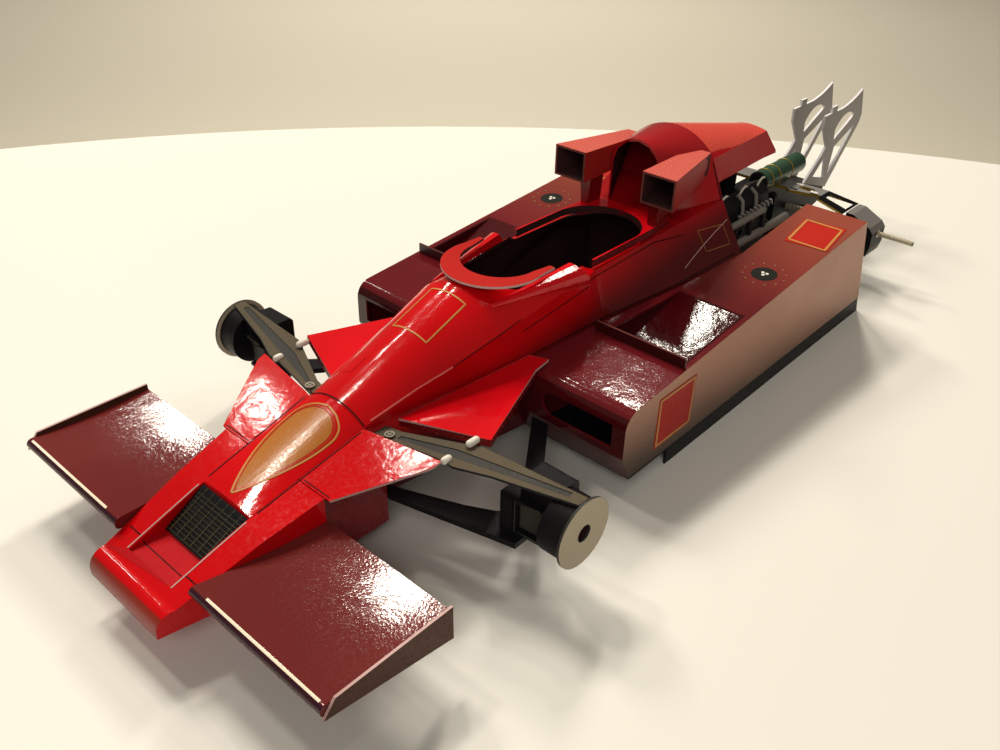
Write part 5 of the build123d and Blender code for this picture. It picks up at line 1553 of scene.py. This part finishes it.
        # painted shade: the canister's front end in black
        bench.hollow_shade("canister_front_shade", "canister", lambda s, n: n.x > 0.5, Finish.BLACK)
        for number, ahead in enumerate(self.bands):
            ring = [at(ahead, left + math.cos(turn) * radius, up + math.sin(turn) * radius)
                    for turn in turns(self.band_corners)]
            bench.rod(f"canister_band_{number}", ring, self.band_radius, Finish.GOLD_FOIL,
                      shut=True)

    def build_engine(self, bench: Workbench, word: str, side: int) -> None:
        """Adds the ribs, the bolts, the bent ducts and the hoses at one side of the engine.

        Args:
            bench: the workbench.
            word: the side's name.
            side: 1 on the left and -1 on the right.
        """
        for name, finish, count, size, start, pitch, turn in (
                ("ribs", Finish.SILVER, self.ribs, self.rib, self.rib_start, self.rib_pitch, self.rib_turn),
                ("bolts", Finish.PIPE_GREY, self.bolts, self.bolt, self.bolt_start, self.bolt_pitch, 0)):
            bench.grow(f"engine_{name}_{word}", bench.rows, finish, {
                "Count": count, "Start": at(start[0], side * start[1], start[2]), "Step": (-pitch * MM, 0, 0),
                "Bar": Vector(size) * MM, "Turn": (0, turn, 0)})
        for number, place in enumerate(self.ducts):
            bends = [at(place + ahead, side * left, up) for ahead, left, up in self.duct]
            bench.rod(f"engine_duct_{word}_{number}", bends, self.duct_radius,
                      Finish.SLATE if number % 2 else Finish.PIPE_GREY, sides=8)
        left, up = self.hoop_middle
        for number, place in enumerate(self.hoops):
            arc = [at(place + self.hoop_radius * math.sin(turn),
                      side * (left + self.hoop_lean * math.cos(turn)), up + self.hoop_radius * math.cos(turn))
                   for turn in (math.pi * (step / 8 - 0.2) for step in range(12))]
            bench.rod(f"intake_hoop_{word}_{number}", arc, self.hoop_wire, Finish.CREAM)
        ahead, left, up = self.hose_start
        swing, rise = self.hose_wave
        hose = [at(ahead - self.hose_pitch * bend, side * (left + swing * math.sin(bend * 0.9)),
                   up + rise * math.cos(bend * 1.1)) for bend in range(self.hose_bends)]
        bench.rod(f"hose_{word}", hose, self.hose_radius, Finish.BLACK, sides=8)

    def build_beam(self, bench: Workbench) -> None:
        """Lays the printed marks and bright blocks on the beam.

        Args:
            bench: the workbench.
        """
        for word, side in SIDES:
            for number, (ahead, left, half, finish) in enumerate(self.marks):
                path = ((ahead, left - self.mark_half, 18), (ahead, left + self.mark_half, 18))
                mark = Stripe(f"beam_mark_{word}_{number}", ("rear_beam",), path, half, finish,
                              slot="black_card")
                mark.on(word, side).lay(bench)


# ---- stage, camera and light -------------------------------------------------------------------
@dataclass(frozen=True)
class Lamp:
    """A square lamp, in metres and watts.

    Attributes:
        name: its name.
        place: where it hangs.
        aim: what it points at.
        size: length of its sides.
        power: its power.
        colour: colour of its light.
        mirrored: whether glossy card mirrors it.
    """

    name: str
    place: Spot
    aim: Spot
    size: float
    power: float
    colour: Colour = (1.0, 0.94, 0.82)
    mirrored: bool = True

    def hang(self) -> None:
        """Hangs the lamp and points it."""
        data = bpy.data.lights.new(self.name, "AREA")
        data.size = self.size
        data.energy = self.power
        data.color = self.colour
        lamp = bpy.data.objects.new(self.name, data)
        lamp.location = self.place
        lamp.rotation_mode = "QUATERNION"
        lamp.rotation_quaternion = (Vector(self.place) - Vector(self.aim)).to_track_quat("Z", "Y")
        lamp.visible_glossy = self.mirrored
        bpy.context.scene.collection.objects.link(lamp)


@dataclass
class Stage:
    """Table, ground, camera and lamps.

    Attributes:
        eye: place of the camera, in metres.
        turn: heading of the view from the car's forward axis, in degrees.
        dip: angle of the view above the level, in degrees.
        roll: turn about the line of sight, in degrees.
        lens: focal length, in mm.
        sensor: width of the sensor, in mm.
        sight: nearest and farthest distance that it sees, in metres.
        table_middle: middle of the round table.
        table_radius: its radius.
        table_thick: its thickness.
        table_sides: straight edges of its rim.
        table_paint: its colour and roughness.
        ground_reach: half width of the ground.
        ground_depth: how far it lies below the table.
        ground_paint: its colour and roughness.
        nose: what the lamps over the nose point at.
        pods: what the lamps over the pods point at.
        lamps: the lamps: small ones that card mirrors and broad ones that it doesn't.
        room: colour and strength of the light from all sides.
    """

    eye: Spot = (0.121435, 0.08496, 0.089934)
    turn: float = -138.374
    dip: float = -33.075
    roll: float = 1.322
    lens: float = 33.769
    sensor: float = 36.0
    sight: tuple[float, float] = (0.005, 50.0)
    table_middle: tuple[float, float] = (0.199, 0.164)
    table_radius: float = 0.383
    table_thick: float = 0.02
    table_sides: int = 180
    table_paint: tuple[Colour, float] = ((0.70, 0.675, 0.62), 0.4)
    ground_reach: float = 8.0
    ground_depth: float = 0.3
    ground_paint: tuple[Colour, float] = ((0.77, 0.71, 0.58), 0.8)
    nose: Spot = (0.02, 0.0, 0.01)
    pods: Spot = (0.0, 0.0, 0.01)
    lamps: tuple[Lamp, ...] = (
        Lamp("left_wing_glint", (-0.245, -0.45, 0.705), nose, 0.04, 0.6),
        Lamp("right_wing_glint", (-0.172, -0.69, 0.56), nose, 0.035, 0.4),
        Lamp("right_deck_glint", (-0.04, -0.647, 0.642), nose, 0.03, 0.22),
        Lamp("spine_glint", (0.115, -0.49, 0.765), nose, 0.08, 1.5),
        Lamp("left_deck_glint", (-0.105, -0.51, 0.727), nose, 0.03, 0.22),
        Lamp("pod_glint", (-0.485, -0.365, 0.645), pods, 0.035, 0.5),
        Lamp("tray_glint", (-0.385, -0.357, 0.735), pods, 0.04, 0.4),
        Lamp("screen_glint", (-0.391, 0.177, 0.809), (0.02, 0.0, 0.02), 0.05, 0.4),
        Lamp("high_lamp", (-0.16, -0.445, 0.738), nose, 0.14, 2.6, mirrored=False),
        Lamp("near_lamp", (-0.10, -0.64, 0.63), nose, 0.14, 2.2, mirrored=False),
        Lamp("far_lamp", (-0.58, -0.41, 0.60), pods, 0.14, 4.0, mirrored=False),
        Lamp("front_lamp", (0.60, 0.45, 0.55), pods, 0.5, 3.0, (1.0, 0.97, 0.92), False),
        Lamp("room_lamp", (-1.2, -1.2, 1.0), (-1.6, -1.6, 0.0), 1.0, 20.0, (1.0, 0.95, 0.86), False))
    room: tuple[Colour, float] = ((0.80, 0.72, 0.58), 0.16)

    def build(self) -> None:
        """Builds the stage."""
        self.build_table()
        self.build_camera()
        for lamp in self.lamps:
            lamp.hang()
        self.build_room()

    def build_table(self) -> None:
        """Makes the round pale table and the ground around it."""
        middle = Vector((*self.table_middle, 0))
        rim = [middle + Vector((math.cos(turn), math.sin(turn), 0)) * self.table_radius
               for turn in turns(self.table_sides)]
        lower = [point - Vector((0, 0, self.table_thick)) for point in rim]
        faces = [tuple(range(self.table_sides)), *prism_sides(self.table_sides)]
        self.stage_piece("table", rim + lower, faces, *self.table_paint)
        reach = self.ground_reach
        square = [Vector((x, y, -self.ground_depth))
                  for x, y in ((-reach, -reach), (reach, -reach), (reach, reach), (-reach, reach))]
        self.stage_piece("ground", square, [(0, 1, 2, 3)], *self.ground_paint)

    @staticmethod
    def stage_piece(name: str, points: Sequence[Vector], faces: Faces, colour: Colour, rough: float) -> None:
        """Makes a part of the stage, with a plain pale paint.

        Args:
            name: its name.
            points: its points, in metres.
            faces: its faces.
            colour: its colour.
            rough: its roughness.
        """
        mesh = bpy.data.meshes.new(name)
        mesh.from_pydata(points, [], faces)
        material = bpy.data.materials.new(name + "_paint")
        material.use_nodes = True
        shader = material.node_tree.nodes["Principled BSDF"]
        shader.inputs["Base Color"].default_value = (*colour, 1)
        shader.inputs["Roughness"].default_value = rough
        mesh.materials.append(material)
        piece = bpy.data.objects.new(name, mesh)
        bpy.context.scene.collection.objects.link(piece)

    def build_camera(self) -> None:
        """Makes the camera and turns it along its line of sight."""
        data = bpy.data.cameras.new("camera")
        data.lens = self.lens
        data.sensor_width = self.sensor
        data.clip_start, data.clip_end = self.sight
        camera = bpy.data.objects.new("camera", data)
        bpy.context.scene.collection.objects.link(camera)
        turn, dip, roll = (math.radians(angle) for angle in (self.turn, self.dip, self.roll))
        ahead = Vector((math.cos(dip) * math.cos(turn), math.cos(dip) * math.sin(turn), math.sin(dip)))
        right = ahead.cross(Vector((0, 0, 1))).normalized()
        tilted = right * math.cos(roll) + right.cross(ahead) * math.sin(roll)
        camera.rotation_mode = "QUATERNION"
        axes = Matrix((tilted, tilted.cross(ahead), -ahead)).transposed()
        camera.rotation_quaternion = axes.to_quaternion()
        camera.location = self.eye
        bpy.context.scene.camera = camera

    def build_room(self) -> None:
        """Makes the warm surroundings."""
        colour, strength = self.room
        world = bpy.data.worlds.new("room")
        world.use_nodes = True
        surroundings = world.node_tree.nodes["Background"]
        surroundings.inputs["Color"].default_value = (*colour, 1)
        surroundings.inputs["Strength"].default_value = strength
        bpy.context.scene.world = world
        bpy.context.scene.view_settings.view_transform = "Standard"


def corners(box: Sequence[Vector]) -> list[list[float]]:
    """Plain lists of a box's lowest and highest corner."""
    return [[float(value) for value in corner] for corner in box]


def main() -> None:
    """Builds the whole scene in order."""
    logging.basicConfig(level=logging.INFO, format="%(name)s: %(message)s")
    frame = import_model()
    bench = Workbench(frame["nodes"])
    for assembly in (Nose(), Tub(), Pods(), FrontSuspension(), Rear()):
        assembly.build(bench)
    Stage().build()
    LOG.info("%d pieces on %d solids", bench.count, len(frame["nodes"]))


if __name__ == "__main__":
    main()
